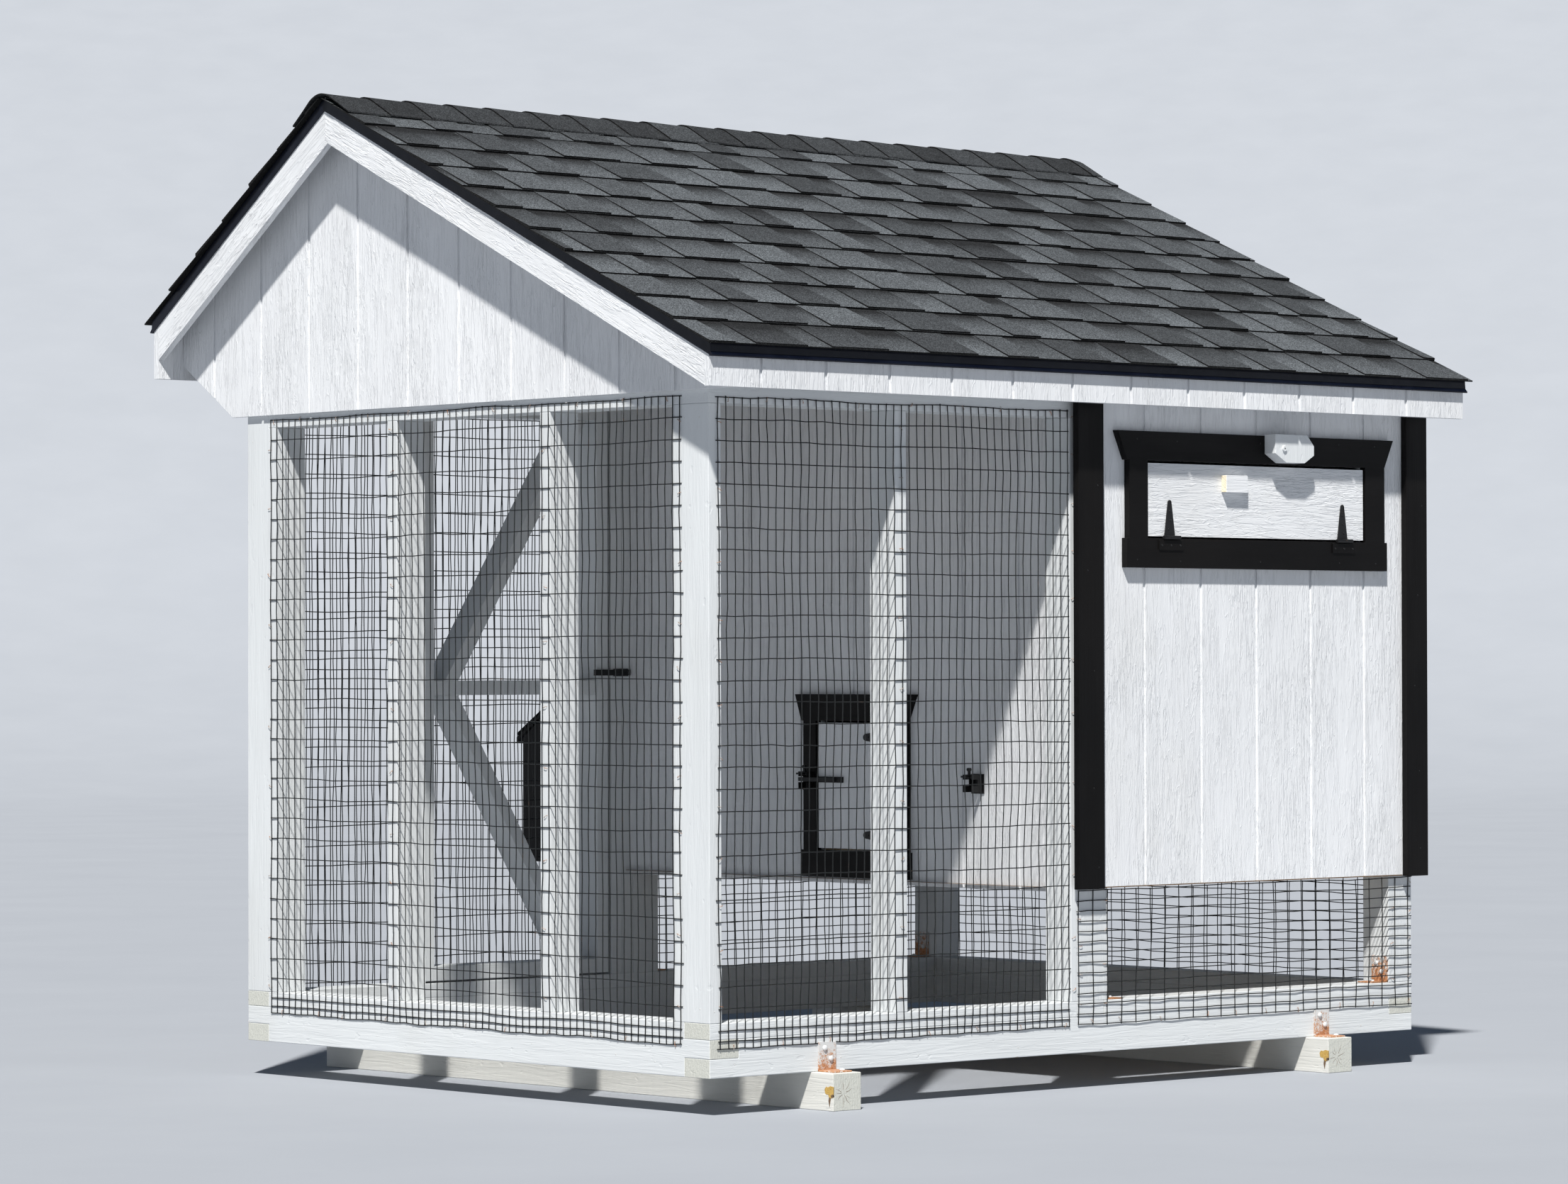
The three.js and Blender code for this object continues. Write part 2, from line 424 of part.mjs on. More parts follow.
// ---- welded wire panels ------------------------------------------------------------------------
const M0 = MESH_OFF, M1 = MESH_OFF + MESH_T;
part('mesh_gable', box(-M1, -M0, 3.7, 67.7, 2.9, 62.55), 'wire');
part('mesh_front', box(1, 47, -M1, -M0, 2.6, 62.4), 'wire');
part('mesh_back', box(0.9, 18.7, BASE_W + M0, BASE_W + M1, 2.6, 65.5), 'wire');
const XR = BASE_L, YB = BASE_W;
part('mesh_under_house', prism('z', [
  [47.3, -M1], [XR + M1, -M1], [XR + M1, YB + M1], [46.2, YB + M1],
  [46.2, YB + M0], [XR + M0, YB + M0], [XR + M0, -M0], [47.3, -M0]], 2.6, 15.85), 'wire');

// ---- nest box and its lid ---------------------------------------------------------------------------
{
  const { x0, x1, y0, y1, z0, zTop, pitch } = NEST;
  const side = (a, b) => prism('x', [[y0, z0], [y1, z0], [y1, zTop], [y0, zTop + (y1 - y0) * pitch]], a, b);
  part('nest_box', join(
    side(x0, x0 + BOARD), side(NEST_BAYS[0][1], NEST_BAYS[1][0]), side(NEST_BAYS[1][1], NEST_BAYS[2][0]),
    side(x1 - BOARD, x1), box(x0, x1, y1 - BOARD, y1, z0, zTop - 0.1), box(x0, x1, y0, y1, z0, z0 + BOARD)), 'siding');
  const lo = (y) => zTop + 0.1 + (y1 - y) * pitch;
  const t = BOARD * Math.hypot(1, pitch);
  part('nest_lid', prism('x', [[71.9, lo(71.9)], [Y_MAX, lo(Y_MAX)], [Y_MAX, lo(Y_MAX) + t], [71.9, lo(71.9) + t]],
    x0 - 0.7, x1 + 0.7), 'shingle');
}

export default coop;
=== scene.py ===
# Chicken coop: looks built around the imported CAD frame. Every length below is in
# inches from the base's near left bottom corner (plan frame) until P() makes it metres.
import math
import random
import bpy
import numpy as np
from mathutils import Vector, Matrix


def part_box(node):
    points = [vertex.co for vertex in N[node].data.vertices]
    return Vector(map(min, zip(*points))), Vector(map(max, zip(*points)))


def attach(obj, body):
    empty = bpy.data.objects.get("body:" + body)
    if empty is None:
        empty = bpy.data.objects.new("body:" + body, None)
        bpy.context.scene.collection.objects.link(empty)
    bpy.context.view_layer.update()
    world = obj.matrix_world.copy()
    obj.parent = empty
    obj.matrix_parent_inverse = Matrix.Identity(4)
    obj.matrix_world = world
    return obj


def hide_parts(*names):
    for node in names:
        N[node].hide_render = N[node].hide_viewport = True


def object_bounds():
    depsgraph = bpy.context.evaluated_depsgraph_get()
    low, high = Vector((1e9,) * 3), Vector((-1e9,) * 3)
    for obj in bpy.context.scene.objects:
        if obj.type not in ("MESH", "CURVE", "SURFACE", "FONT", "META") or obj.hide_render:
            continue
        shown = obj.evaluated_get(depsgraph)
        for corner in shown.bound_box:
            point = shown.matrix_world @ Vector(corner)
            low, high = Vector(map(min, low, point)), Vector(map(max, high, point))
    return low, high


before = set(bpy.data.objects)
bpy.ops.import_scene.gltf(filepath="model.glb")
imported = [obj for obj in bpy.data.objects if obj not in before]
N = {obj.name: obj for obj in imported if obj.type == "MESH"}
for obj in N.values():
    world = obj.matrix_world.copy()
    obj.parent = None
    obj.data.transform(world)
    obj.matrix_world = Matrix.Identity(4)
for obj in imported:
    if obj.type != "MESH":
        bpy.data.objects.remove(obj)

CAD_BOX = [list(c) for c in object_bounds()]
IN = 0.0254
B0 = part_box("base_rail_front")[0]
rnd = random.Random(11)


def P(x, y, z):
    return (B0.x + x * IN, B0.y + y * IN, B0.z + z * IN)


def box_in(node):
    lo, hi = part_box(node)
    return [(c - o) / IN for c, o in zip(lo, B0)], [(c - o) / IN for c, o in zip(hi, B0)]


# ---------------------------------------------------------------- materials
class Nodes:
    def __init__(self, name):
        self.m = bpy.data.materials.new(name)
        self.m.use_nodes = True
        self.t = self.m.node_tree
        self.t.nodes.clear()
        self.out = self.t.nodes.new("ShaderNodeOutputMaterial")
        self.b = self.t.nodes.new("ShaderNodeBsdfPrincipled")
        self.t.links.new(self.b.outputs[0], self.out.inputs[0])
        self.tc = self.t.nodes.new("ShaderNodeTexCoord")
        self.vec = self.tc.outputs["Object"]

    def link(self, a, b):
        self.t.links.new(a, b)

    def coord(self, scale):
        m = self.t.nodes.new("ShaderNodeMapping")
        m.inputs["Scale"].default_value = scale
        self.link(self.vec, m.inputs["Vector"])
        return m.outputs[0]

    def noise(self, scale, vec=(1, 1, 1), detail=4, rough=0.55, distortion=0.0):
        n = self.t.nodes.new("ShaderNodeTexNoise")
        n.inputs["Scale"].default_value = scale
        n.inputs["Detail"].default_value = detail
        n.inputs["Roughness"].default_value = rough
        n.inputs["Distortion"].default_value = distortion
        self.link(self.coord(vec), n.inputs["Vector"])
        return n.outputs["Fac"]

    def ramp(self, src, *stops):
        r = self.t.nodes.new("ShaderNodeValToRGB")
        e = r.color_ramp.elements
        while len(e) < len(stops):
            e.new(0.5)
        for el, (pos, col) in zip(e, stops):
            el.position = pos
            el.color = (*col, 1) if hasattr(col, "__len__") else (col, col, col, 1)
        self.link(src, r.inputs[0])
        return r.outputs[0]

    def mix(self, fac, a, b, mode="MIX"):
        m = self.t.nodes.new("ShaderNodeMix")
        m.data_type = "RGBA"
        m.blend_type = mode
        for v, s in ((fac, m.inputs[0]), (a, m.inputs[6]), (b, m.inputs[7])):
            if hasattr(v, "links"):
                self.link(v, s)
            elif hasattr(v, "__len__"):
                s.default_value = (*v, 1)
            else:
                s.default_value = v
        return m.outputs[2]

    def math(self, op, a, b=0.0):
        m = self.t.nodes.new("ShaderNodeMath")
        m.operation = op
        for v, s in ((a, m.inputs[0]), (b, m.inputs[1])):
            if hasattr(v, "links"):
                self.link(v, s)
            else:
                s.default_value = v
        return m.outputs[0]

    def bump(self, height, strength, distance, under=None):
        n = self.t.nodes.new("ShaderNodeBump")
        n.inputs["Strength"].default_value = strength
        n.inputs["Distance"].default_value = distance
        self.link(height, n.inputs["Height"])
        if under is not None:
            self.link(under, n.inputs["Normal"])
        return n.outputs[0]

    def done(self, color=None, rough=None, normal=None, **k):
        if color is not None:
            self.link(color, self.b.inputs["Base Color"])
        if rough is not None:
            self.link(rough, self.b.inputs["Roughness"])
        if normal is not None:
            self.link(normal, self.b.inputs["Normal"])
        for key, v in k.items():
            self.b.inputs[key.replace("_", " ")].default_value = v
        return self.m


AX = {"x": 0, "y": 1, "z": 2}


def along(axis, stretch):
    v = [1.0, 1.0, 1.0]
    v[AX[axis]] = 1.0 / stretch
    return tuple(v)


def follow_roof(k):
    """Turns the Y and Z coordinates to run along and across each roof slope."""
    sep = k.t.nodes.new("ShaderNodeSeparateXYZ")
    k.link(k.tc.outputs["Object"], sep.inputs[0])
    y, z = sep.outputs[1], sep.outputs[2]
    side = k.math("GREATER_THAN", y, B0.y + 53.3 * IN)
    fc, fs, bc, bs = 0.9078, 0.4194, 0.8192, 0.5735

    def pick(a, b):
        return k.math("ADD", k.math("MULTIPLY", a, k.math("SUBTRACT", 1.0, side)), k.math("MULTIPLY", b, side))

    d = pick(k.math("ADD", k.math("MULTIPLY", y, fc), k.math("MULTIPLY", z, fs)), k.math("SUBTRACT", k.math("MULTIPLY", y, bc), k.math("MULTIPLY", z, bs)))
    n = pick(k.math("SUBTRACT", k.math("MULTIPLY", z, fc), k.math("MULTIPLY", y, fs)), k.math("ADD", k.math("MULTIPLY", z, bc), k.math("MULTIPLY", y, bs)))
    c = k.t.nodes.new("ShaderNodeCombineXYZ")
    for i, v in enumerate((sep.outputs[0], d, n)):
        k.link(v, c.inputs[i])
    k.vec = c.outputs[0]


def painted(axis, emboss=0.0, cream=((0.61, 0.615, 0.565), (0.51, 0.515, 0.465)), base=(0.765, 0.778, 0.795), name=None, endgrain=False, knots=True, roof=False):
    """White paint over wood: fine grain along one axis, worn specks, a little grime."""
    k = Nodes(name or f"white_{'emboss' if emboss else 'lumber'}_{axis}{'_end' if endgrain else ''}")
    if roof:
        follow_roof(k)
    grain = k.noise(190, along(axis, 28), 5, 0.6, 0.3)
    broad = k.noise(6, along(axis, 3), 3, 0.5)
    grime = k.noise(2.2, (1, 1, 0.6), 5, 0.6)
    shade = k.ramp(broad, (0.3, tuple(c * 0.95 for c in base)), (0.7, tuple(min(1, c * 1.03) for c in base)))
    dark = k.ramp(grime, (0.55, 1.0), (0.82, (0.945, 0.935, 0.915)))
    col = k.mix(1.0, shade, dark, "MULTIPLY")
    lines = k.ramp(grain, (0.30, 0.90), (0.42, 1.0))
    col = k.mix(0.28, col, k.mix(1.0, col, lines, "MULTIPLY"))
    if knots:
        nick = k.ramp(k.noise(30, along(axis, 2.2), 2, 0.4), (0.80, 0.0), (0.82, 1.0))
        col = k.mix(nick, col, (0.42, 0.38, 0.33))
    rough = k.ramp(k.noise(22, along(axis, 5), 3), (0.3, 0.46), (0.75, 0.66))
    if emboss:
        # pressed cedar figure: wandering ridges a few millimetres apart, bolder in some boards
        deep = k.noise(125, along(axis, 10), 3, 0.5, 1.2)
        fine = k.noise(330, along(axis, 8), 4, 0.6, 0.8)
        wide = k.noise(34, along(axis, 9), 3, 0.55, 1.8)
        ridges = k.ramp(deep, (0.42, 0.0), (0.475, 0.8), (0.55, 0.82), (0.585, 1.0))
        patch = k.ramp(k.noise(10, along(axis, 3), 2), (0.40, 0.16), (0.62, 1.0))
        lips = k.ramp(wide, (0.478, 0.0), (0.50, 1.0), (0.53, 0.0))
        h = k.math("ADD", k.math("MULTIPLY", ridges, patch), k.math("ADD", k.math("MULTIPLY", fine, 0.3), k.math("MULTIPLY", lips, 0.4)))
        n = k.bump(h, min(1.0, 0.78 * emboss), 0.0016)
        # painted shade: the low parts of the embossed figure are darkened a little
        recess_shade = k.ramp(deep, (0.38, (0.962, 0.967, 0.975)), (0.46, (1, 1, 1)))
        col = k.mix(0.6, col, k.mix(1.0, col, recess_shade, "MULTIPLY"))
    else:
        swell = k.noise(16, along(axis, 7), 3, 0.5, 0.6)
        figure = k.noise(75, along(axis, 16), 4, 0.6, 1.4)
        dents = k.ramp(k.noise(46, along(axis, 1.8), 2, 0.5), (0.27, 0.0), (0.33, 1.0))
        h = k.math("ADD", k.math("MULTIPLY", k.ramp(figure, (0.44, 0.0), (0.56, 1.0)), 0.6), k.math("MULTIPLY", dents, 1.1))
        n = k.bump(grain, 0.45, 0.0008, k.bump(h, 0.5, 0.0009, k.bump(swell, 0.35, 0.0018)))
        col = k.mix(k.ramp(figure, (0.30, 0.30), (0.40, 0.0)), col, k.mix(1.0, col, (0.86, 0.87, 0.88), "MULTIPLY"))
    if endgrain:
        sep = k.t.nodes.new("ShaderNodeSeparateXYZ")
        k.link(k.tc.outputs["Normal"], sep.inputs[0])
        face = k.math("GREATER_THAN", k.math("ABSOLUTE", sep.outputs[AX[axis]]), 0.8)
        rings = k.t.nodes.new("ShaderNodeTexWave")
        rings.wave_type = "RINGS"
        rings.rings_direction = axis.upper()
        rings.inputs["Scale"].default_value = 60
        rings.inputs["Distortion"].default_value = 5
        rings.inputs["Detail"].default_value = 3
        k.link(k.coord((1, 1, 1)), rings.inputs["Vector"])
        cut = k.ramp(rings.outputs["Fac"], (0.1, cream[0]), (0.9, cream[1]))
        col = k.mix(face, col, cut)
    return k.done(col, rough, n, Specular_IOR_Level=0.42)


def black_paint(axis):
    k = Nodes(f"black_trim_{axis}")
    grain = k.noise(120, along(axis, 24), 5, 0.65, 0.4)
    swell = k.noise(18, along(axis, 6), 3)
    dust = k.ramp(k.noise(420, (1, 1, 1), 2, 0.5), (0.66, 0.0), (0.76, 1.0))
    haze = k.ramp(k.noise(5, along(axis, 2), 4), (0.3, (0.0026, 0.0024, 0.0025)), (0.8, (0.0072, 0.0064, 0.0062)))
    col = k.mix(k.math("MULTIPLY", dust, 0.16), haze, (0.09, 0.09, 0.09))
    rough = k.ramp(swell, (0.25, 0.36), (0.75, 0.58))
    return k.done(col, rough, k.bump(grain, 0.55, 0.0009, k.bump(swell, 0.3, 0.0015)), Specular_IOR_Level=0.13)


def coated_iron():
    k = Nodes("black_iron_coat")
    fine = k.noise(900, (1, 1, 1), 3, 0.6)
    wear = k.ramp(k.noise(90, (1, 1, 1), 5, 0.7), (0.67, 0.0), (0.73, 1.0))
    col = k.mix(wear, (0.0065, 0.0065, 0.007), (0.06, 0.034, 0.02))
    rough = k.ramp(k.noise(60, (1, 1, 1), 4), (0.3, 0.32), (0.8, 0.58))
    return k.done(col, rough, k.bump(fine, 0.3, 0.0003), Specular_IOR_Level=0.35)


def drip_metal():
    k = Nodes("drip_edge_enamel")
    dent = k.noise(9, (1, 1, 1), 3, 0.5)
    dust = k.ramp(k.noise(14, (1, 1, 1), 5, 0.6), (0.4, (0.0022, 0.0034, 0.0085)), (0.8, (0.006, 0.008, 0.016)))
    rough = k.ramp(k.noise(30, (1, 1, 1), 4), (0.3, 0.24), (0.8, 0.46))
    return k.done(dust, rough, k.bump(dent, 0.35, 0.004, k.bump(k.noise(400), 0.12, 0.0003)), Specular_IOR_Level=0.26)


def wire_coat():
    k = Nodes("wire_coating")
    rust = k.ramp(k.noise(34, (1, 1, 1), 5, 0.7), (0.63, 0.0), (0.72, 1.0))
    col = k.mix(k.math("MULTIPLY", rust, 0.55), (0.010, 0.0115, 0.012), (0.085, 0.045, 0.024))
    rough = k.ramp(k.noise(120), (0.3, 0.38), (0.8, 0.6))
    return k.done(col, rough, k.bump(k.noise(700), 0.25, 0.0002), Specular_IOR_Level=0.3)


def granules(name, lo=(0.0125, 0.0130, 0.0140), hi=(0.096, 0.1055, 0.1145)):
    """Asphalt shingle: mineral granules over a tone carried by each tab."""
    k = Nodes(name)
    a = k.t.nodes.new("ShaderNodeVertexColor")
    a.layer_name = "tab"
    sep = k.t.nodes.new("ShaderNodeSeparateColor")
    k.link(a.outputs[0], sep.inputs[0])
    mottle = k.noise(28, (1, 1, 1), 6, 0.72)
    tone = k.math("ADD", sep.outputs[0], k.math("MULTIPLY", k.math("SUBTRACT", mottle, 0.5), 0.42))
    tone = k.math("SUBTRACT", tone, k.math("MULTIPLY", k.math("POWER", sep.outputs[1], 2.1), 1.05))
    col = k.mix(tone, lo, hi)
    col = k.mix(k.math("MULTIPLY", sep.outputs[2], 0.92), col, (0.004, 0.004, 0.004))
    v = k.t.nodes.new("ShaderNodeTexVoronoi")
    v.inputs["Scale"].default_value = 420
    k.link(k.coord((1, 1, 1)), v.inputs["Vector"])
    grey = k.t.nodes.new("ShaderNodeRGBToBW")
    k.link(v.outputs["Color"], grey.inputs[0])
    speck = k.ramp(grey.outputs[0], (0.15, 0.42), (0.55, 1.0), (0.86, 1.9))
    col = k.mix(1.0, col, speck, "MULTIPLY")
    light = k.ramp(k.noise(620, (1, 1, 1), 2), (0.69, 0.0), (0.73, 1.0))
    col = k.mix(k.math("MULTIPLY", light, 0.5), col, (0.30, 0.31, 0.32))
    n = k.bump(v.outputs["Distance"], 0.75, 0.0011, k.bump(mottle, 0.4, 0.0025))
    rough = k.ramp(mottle, (0.3, 0.82), (0.8, 0.97))
    return k.done(col, rough, n, Specular_IOR_Level=0.22)


def rusty_zinc(name="staple_rust", base=(0.42, 0.40, 0.37), rust=(0.30, 0.115, 0.035), lo=0.42, hi=0.6):
    k = Nodes(name)
    r = k.ramp(k.noise(75, (1, 1, 1), 6, 0.75), (lo, 0.0), (hi, 1.0))
    col = k.mix(r, base, k.ramp(k.noise(300), (0.3, rust), (0.7, tuple(c * 1.7 for c in rust))))
    rough = k.ramp(k.noise(200), (0.3, 0.45), (0.8, 0.85))
    return k.done(col, rough, k.bump(k.noise(520, (1, 1, 1), 5, 0.7), 0.5, 0.0006))


def bracket_paint(name="bracket_paint", lift=0.0, worn=0.0):
    """White paint letting rust through, more of it towards its lower edge."""
    k = Nodes(name)
    sep = k.t.nodes.new("ShaderNodeSeparateXYZ")
    k.link(k.tc.outputs["Object"], sep.inputs[0])
    low = k.t.nodes.new("ShaderNodeMapRange")
    low.inputs[1].default_value = B0.z + (3.1 + lift) * IN
    low.inputs[2].default_value = B0.z - (0.3 - lift) * IN
    low.inputs[3].default_value = worn - 0.02
    low.inputs[4].default_value = worn + 0.24
    k.link(sep.outputs[2], low.inputs[0])
    n = k.math("ADD", k.noise(130, (1, 1, 1), 7, 0.78), low.outputs[0])
    r = k.ramp(n, (0.58, 0.0), (0.68, 1.0))
    col = k.mix(r, (0.62, 0.625, 0.62), k.ramp(k.noise(240, (1, 1, 1), 4), (0.3, (0.34, 0.125, 0.04)), (0.75, (0.56, 0.31, 0.17))))
    rough = k.ramp(r, (0.0, 0.45), (1.0, 0.88))
    return k.done(col, rough, k.bump(n, 0.6, 0.001))


def plywood(axis="x"):
    k = Nodes("plywood_" + axis)
    g = k.noise(26, along(axis, 14), 6, 0.65, 1.4)
    col = k.ramp(g, (0.3, (0.40, 0.275, 0.15)), (0.5, (0.58, 0.43, 0.26)), (0.72, (0.66, 0.52, 0.34)))
    knot = k.ramp(k.noise(9, along(axis, 1.6), 2), (0.74, 0.0), (0.77, 1.0))
    col = k.mix(knot, col, (0.20, 0.11, 0.05))
    return k.done(col, k.ramp(g, (0.3, 0.62), (0.8, 0.85)), k.bump(g, 0.5, 0.0009))


def knot_wood(name="bare_knot", lo=(0.34, 0.19, 0.04), hi=(0.66, 0.45, 0.13)):
    k = Nodes(name)
    n = k.noise(260, (1, 1, 2), 5, 0.7)
    return k.done(k.ramp(n, (0.3, lo), (0.7, hi)), k.ramp(n, (0.3, 0.5), (0.8, 0.8)), k.bump(n, 0.6, 0.001))


M = {}
LUMBER = (0.675, 0.698, 0.708)
for _a in "xyz":
    M["paint_" + _a] = painted(_a, base=LUMBER)
    M["emboss_" + _a] = painted(_a, emboss=1.0, knots=False)
    M["black_" + _a] = black_paint(_a)
M["end_x"] = painted("x", endgrain=True, base=LUMBER)
M["end_y"] = painted("y", endgrain=True, base=LUMBER)
M["rake"] = painted("y", emboss=1.25, knots=False, roof=True, name="white_rake")
M["rafter"] = painted("y", roof=True, base=LUMBER, name="white_rafter")
M["skid"] = painted("y", endgrain=True, base=(0.665, 0.66, 0.62), name="white_skid")
M["pull"] = painted("x", endgrain=True, cream=((0.86, 0.79, 0.62), (0.80, 0.70, 0.50)), name="white_pull", knots=False)
M["iron"] = coated_iron()
M["drip"] = drip_metal()
M["wire"] = wire_coat()
M["shingle"] = granules("shingle_granules")
M["staple"] = rusty_zinc()
M["nail"] = rusty_zinc("nail_head", (0.62, 0.62, 0.61), (0.33, 0.16, 0.07), 0.55, 0.75)
M["bracket"] = bracket_paint()
M["bracket_foot"] = bracket_paint("bracket_paint_foot", 5.0, 0.05)
M["ply"] = plywood("x")
M["knot"] = knot_wood()
M["weep"] = knot_wood("weep_stain", (0.085, 0.05, 0.028), (0.21, 0.135, 0.075))


# ---------------------------------------------------------------- mesh building
class Build:
    """Collects faces in plan inches and turns them into one object."""

    def __init__(self):
        self.v, self.f, self.c, self.s, self.mi = [], [], [], [], []

    def add(self, verts, faces, col=(1, 0, 0), smooth=False, mat=0):
        o = len(self.v)
        self.v += [tuple(p) for p in verts]
        self.f += [tuple(i + o for i in f) for f in faces]
        self.c += [col] * len(verts) if not isinstance(col, list) else col
        self.s += [smooth] * len(faces)
        self.mi += [mat] * len(faces)

    def box(self, x0, x1, y0, y1, z0, z1, **k):
        v = [(x, y, z) for x in (x0, x1) for y in (y0, y1) for z in (z0, z1)]
        f = [(0, 1, 3, 2), (4, 6, 7, 5), (0, 4, 5, 1), (2, 3, 7, 6), (0, 2, 6, 4), (1, 5, 7, 3)]
        self.add(v, f, **k)

    def prism(self, axis, pts, a0, a1, **k):
        n = len(pts)
        put = {"x": lambda a, u, w: (a, u, w), "y": lambda a, u, w: (u, a, w), "z": lambda a, u, w: (u, w, a)}[axis]
        v = [put(a0, u, w) for u, w in pts] + [put(a1, u, w) for u, w in pts]
        f = [tuple(range(n)), tuple(range(2 * n - 1, n - 1, -1))]
        f += [(i, i + n, (i + 1) % n + n, (i + 1) % n) for i in range(n)]
        self.add(v, f, **k)

    def tube(self, pts, r, n=6, smooth=True, caps=True, **k):
        p = np.asarray(pts, float)
        t = np.gradient(p, axis=0)
        t /= np.linalg.norm(t, axis=1)[:, None] + 1e-12
        ref = np.array([0.31, 0.52, 0.79])
        a = np.cross(t, ref)
        a /= np.linalg.norm(a, axis=1)[:, None] + 1e-12
        b = np.cross(t, a)
        th = np.arange(n) * 2 * math.pi / n
        rr = np.full(len(p), r) if np.isscalar(r) else np.asarray(r)
        ring = p[:, None] + rr[:, None, None] * (a[:, None] * np.cos(th)[None, :, None] + b[:, None] * np.sin(th)[None, :, None])
        v = ring.reshape(-1, 3).tolist()
        m = len(p)
        f = [(i * n + j, i * n + (j + 1) % n, (i + 1) * n + (j + 1) % n, (i + 1) * n + j) for i in range(m - 1) for j in range(n)]
        if caps:
            f += [tuple(range(n - 1, -1, -1)), tuple((m - 1) * n + j for j in range(n))]
        self.add(v, f, smooth=smooth, **k)

    def disc_head(self, c, axis, r, h, n=12, **k):
        """A domed screw or nail head standing on a face; axis is its outward direction."""
        axis = Vector(axis).normalized()
        u = axis.orthogonal().normalized()
        w = axis.cross(u)
        rows = [(1.0, 0.0), (1.0, 0.35), (0.8, 0.8), (0.4, 1.0)]
        v = [tuple(Vector(c) + axis * (h * q) + (u * math.cos(t) + w * math.sin(t)) * (r * s)) for s, q in rows for t in [i * 2 * math.pi / n for i in range(n)]]
        f = [(a * n + i, a * n + (i + 1) % n, (a + 1) * n + (i + 1) % n, (a + 1) * n + i) for a in range(3) for i in range(n)]
        f += [tuple(3 * n + i for i in range(n)), tuple(range(n - 1, -1, -1))]
        self.add(v, f, smooth=True, **k)

    def obj(self, name, mats, body, slot=None, replaces=(), bevel=0.0, weld=False):
        me = bpy.data.meshes.new(name)
        me.from_pydata([P(*p) for p in self.v], [], self.f)
        mats = mats if isinstance(mats, (list, tuple)) else [mats]
        for m in mats:
            me.materials.append(M[m])
        me.polygons.foreach_set("use_smooth", self.s)
        me.polygons.foreach_set("material_index", self.mi)
        lay = me.color_attributes.new("tab", "FLOAT_COLOR", "POINT")
        lay.data.foreach_set("color", [x for c in self.c for x in (*c, 1.0)])
        me.validate()
        me.update()
        o = bpy.data.objects.new(name, me)
        bpy.context.scene.collection.objects.link(o)
        import bmesh
        bm = bmesh.new()
        bm.from_mesh(me)
        bmesh.ops.recalc_face_normals(bm, faces=bm.faces)
        bm.to_mesh(me)
        bm.free()
        if bevel:
            soften(o, bevel, weld=False)
        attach(o, body)
        if replaces:
            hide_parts(*replaces)
        return o


def soften(o, width, weld=True, seg=2):
    if weld:
        w = o.modifiers.new("weld", "WELD")
        w.merge_threshold = 1e-5
    b = o.modifiers.new("edge", "BEVEL")
    b.width = width * IN
    b.segments = seg
    b.limit_method = "ANGLE"
    b.angle_limit = math.radians(34)
    b.use_clamp_overlap = True
    b.harden_normals = False


def dress(node, mat, bevel=0.05, seg=2):
    o = N[node]
    o.data.materials.clear()
    o.data.materials.append(M[mat])
    if bevel:
        soften(o, bevel, True, seg)
    return o


# ---------------------------------------------------------------- lumber, siding and trim
for n, m in {
    "skid_left": "skid", "skid_right": "skid",
    "base_rail_front": "end_x", "base_rail_back": "end_x", "base_rail_left": "end_y", "base_rail_right": "end_y",
    "corner_post_front_left": "paint_z", "corner_post_back_left": "paint_z",
    "gable_stud_front": "paint_z", "gable_stud_back": "paint_z", "run_stud_front": "paint_z",
    "mid_post_front": "paint_z", "door_jamb_stud": "paint_z",
    "corner_post_front_right": "paint_z", "corner_post_back_right": "paint_z",
    "top_plate_front_left": "paint_x", "top_plate_back": "paint_x",
    "run_door_button": "paint_z",
}.items():
    dress(n, m, 0.07 if "rail" in n or "skid" in n else 0.055)
for n, m in {
    "partition_wall": "emboss_z", "house_front_wall": "emboss_z", "house_right_wall": "emboss_z",
    "run_gable_siding": "emboss_z", "back_wall": "emboss_z", "fascia_front": "emboss_z", "fascia_back": "emboss_z",
    "hatch_panel": "emboss_x", "pop_door_panel": "emboss_z", "nest_box": "emboss_z",
    "rake_left": "rake", "rake_right": "rake",
}.items():
    dress(n, m, 0.03)
for n, m in {"corner_trim_mid": "black_z", "corner_trim_right": "black_z", "hatch_trim": "black_x", "pop_trim": "black_y"}.items():
    dress(n, m, 0.045)
for n in ("hatch_strap_left", "hatch_strap_right", "pop_strap_upper", "pop_strap_lower", "pop_striker", "pop_pawl",
          "hold_latch", "hold_pawl", "run_door_hinge_upper", "run_door_hinge_lower"):
    dress(n, "iron", 0.02)
dress("drip_edge", "drip", 0.02)
dress("house_floor", "ply", 0.03)
dress("hatch_pull", "pull", 0.05)
dress("turn_button", "paint_z", 0.05)

(sx0, sy0, sz0), (sx1, sy1, sz1) = box_in("sill_plate")
B = Build()
for a, b in ((sy0, sy0 + 3.49), (sy1 - 3.49, sy1)):
    B.box(sx0, 51.0, a, b, sz0, sz1); B.box(51.03, sx1, a, b, sz0, sz1)
B.obj("sill_boards_long", "end_x", "frame", "white_paint", ["sill_plate"], bevel=0.055)
B = Build()
for a, b in ((sx0, sx0 + 3.49), (sx1 - 3.49, sx1)):
    B.box(a, b, sy0 + 3.52, sy1 - 3.52, sz0, sz1)
B.obj("sill_boards_cross", "end_y", "frame", "white_paint", ["sill_plate"], bevel=0.055)

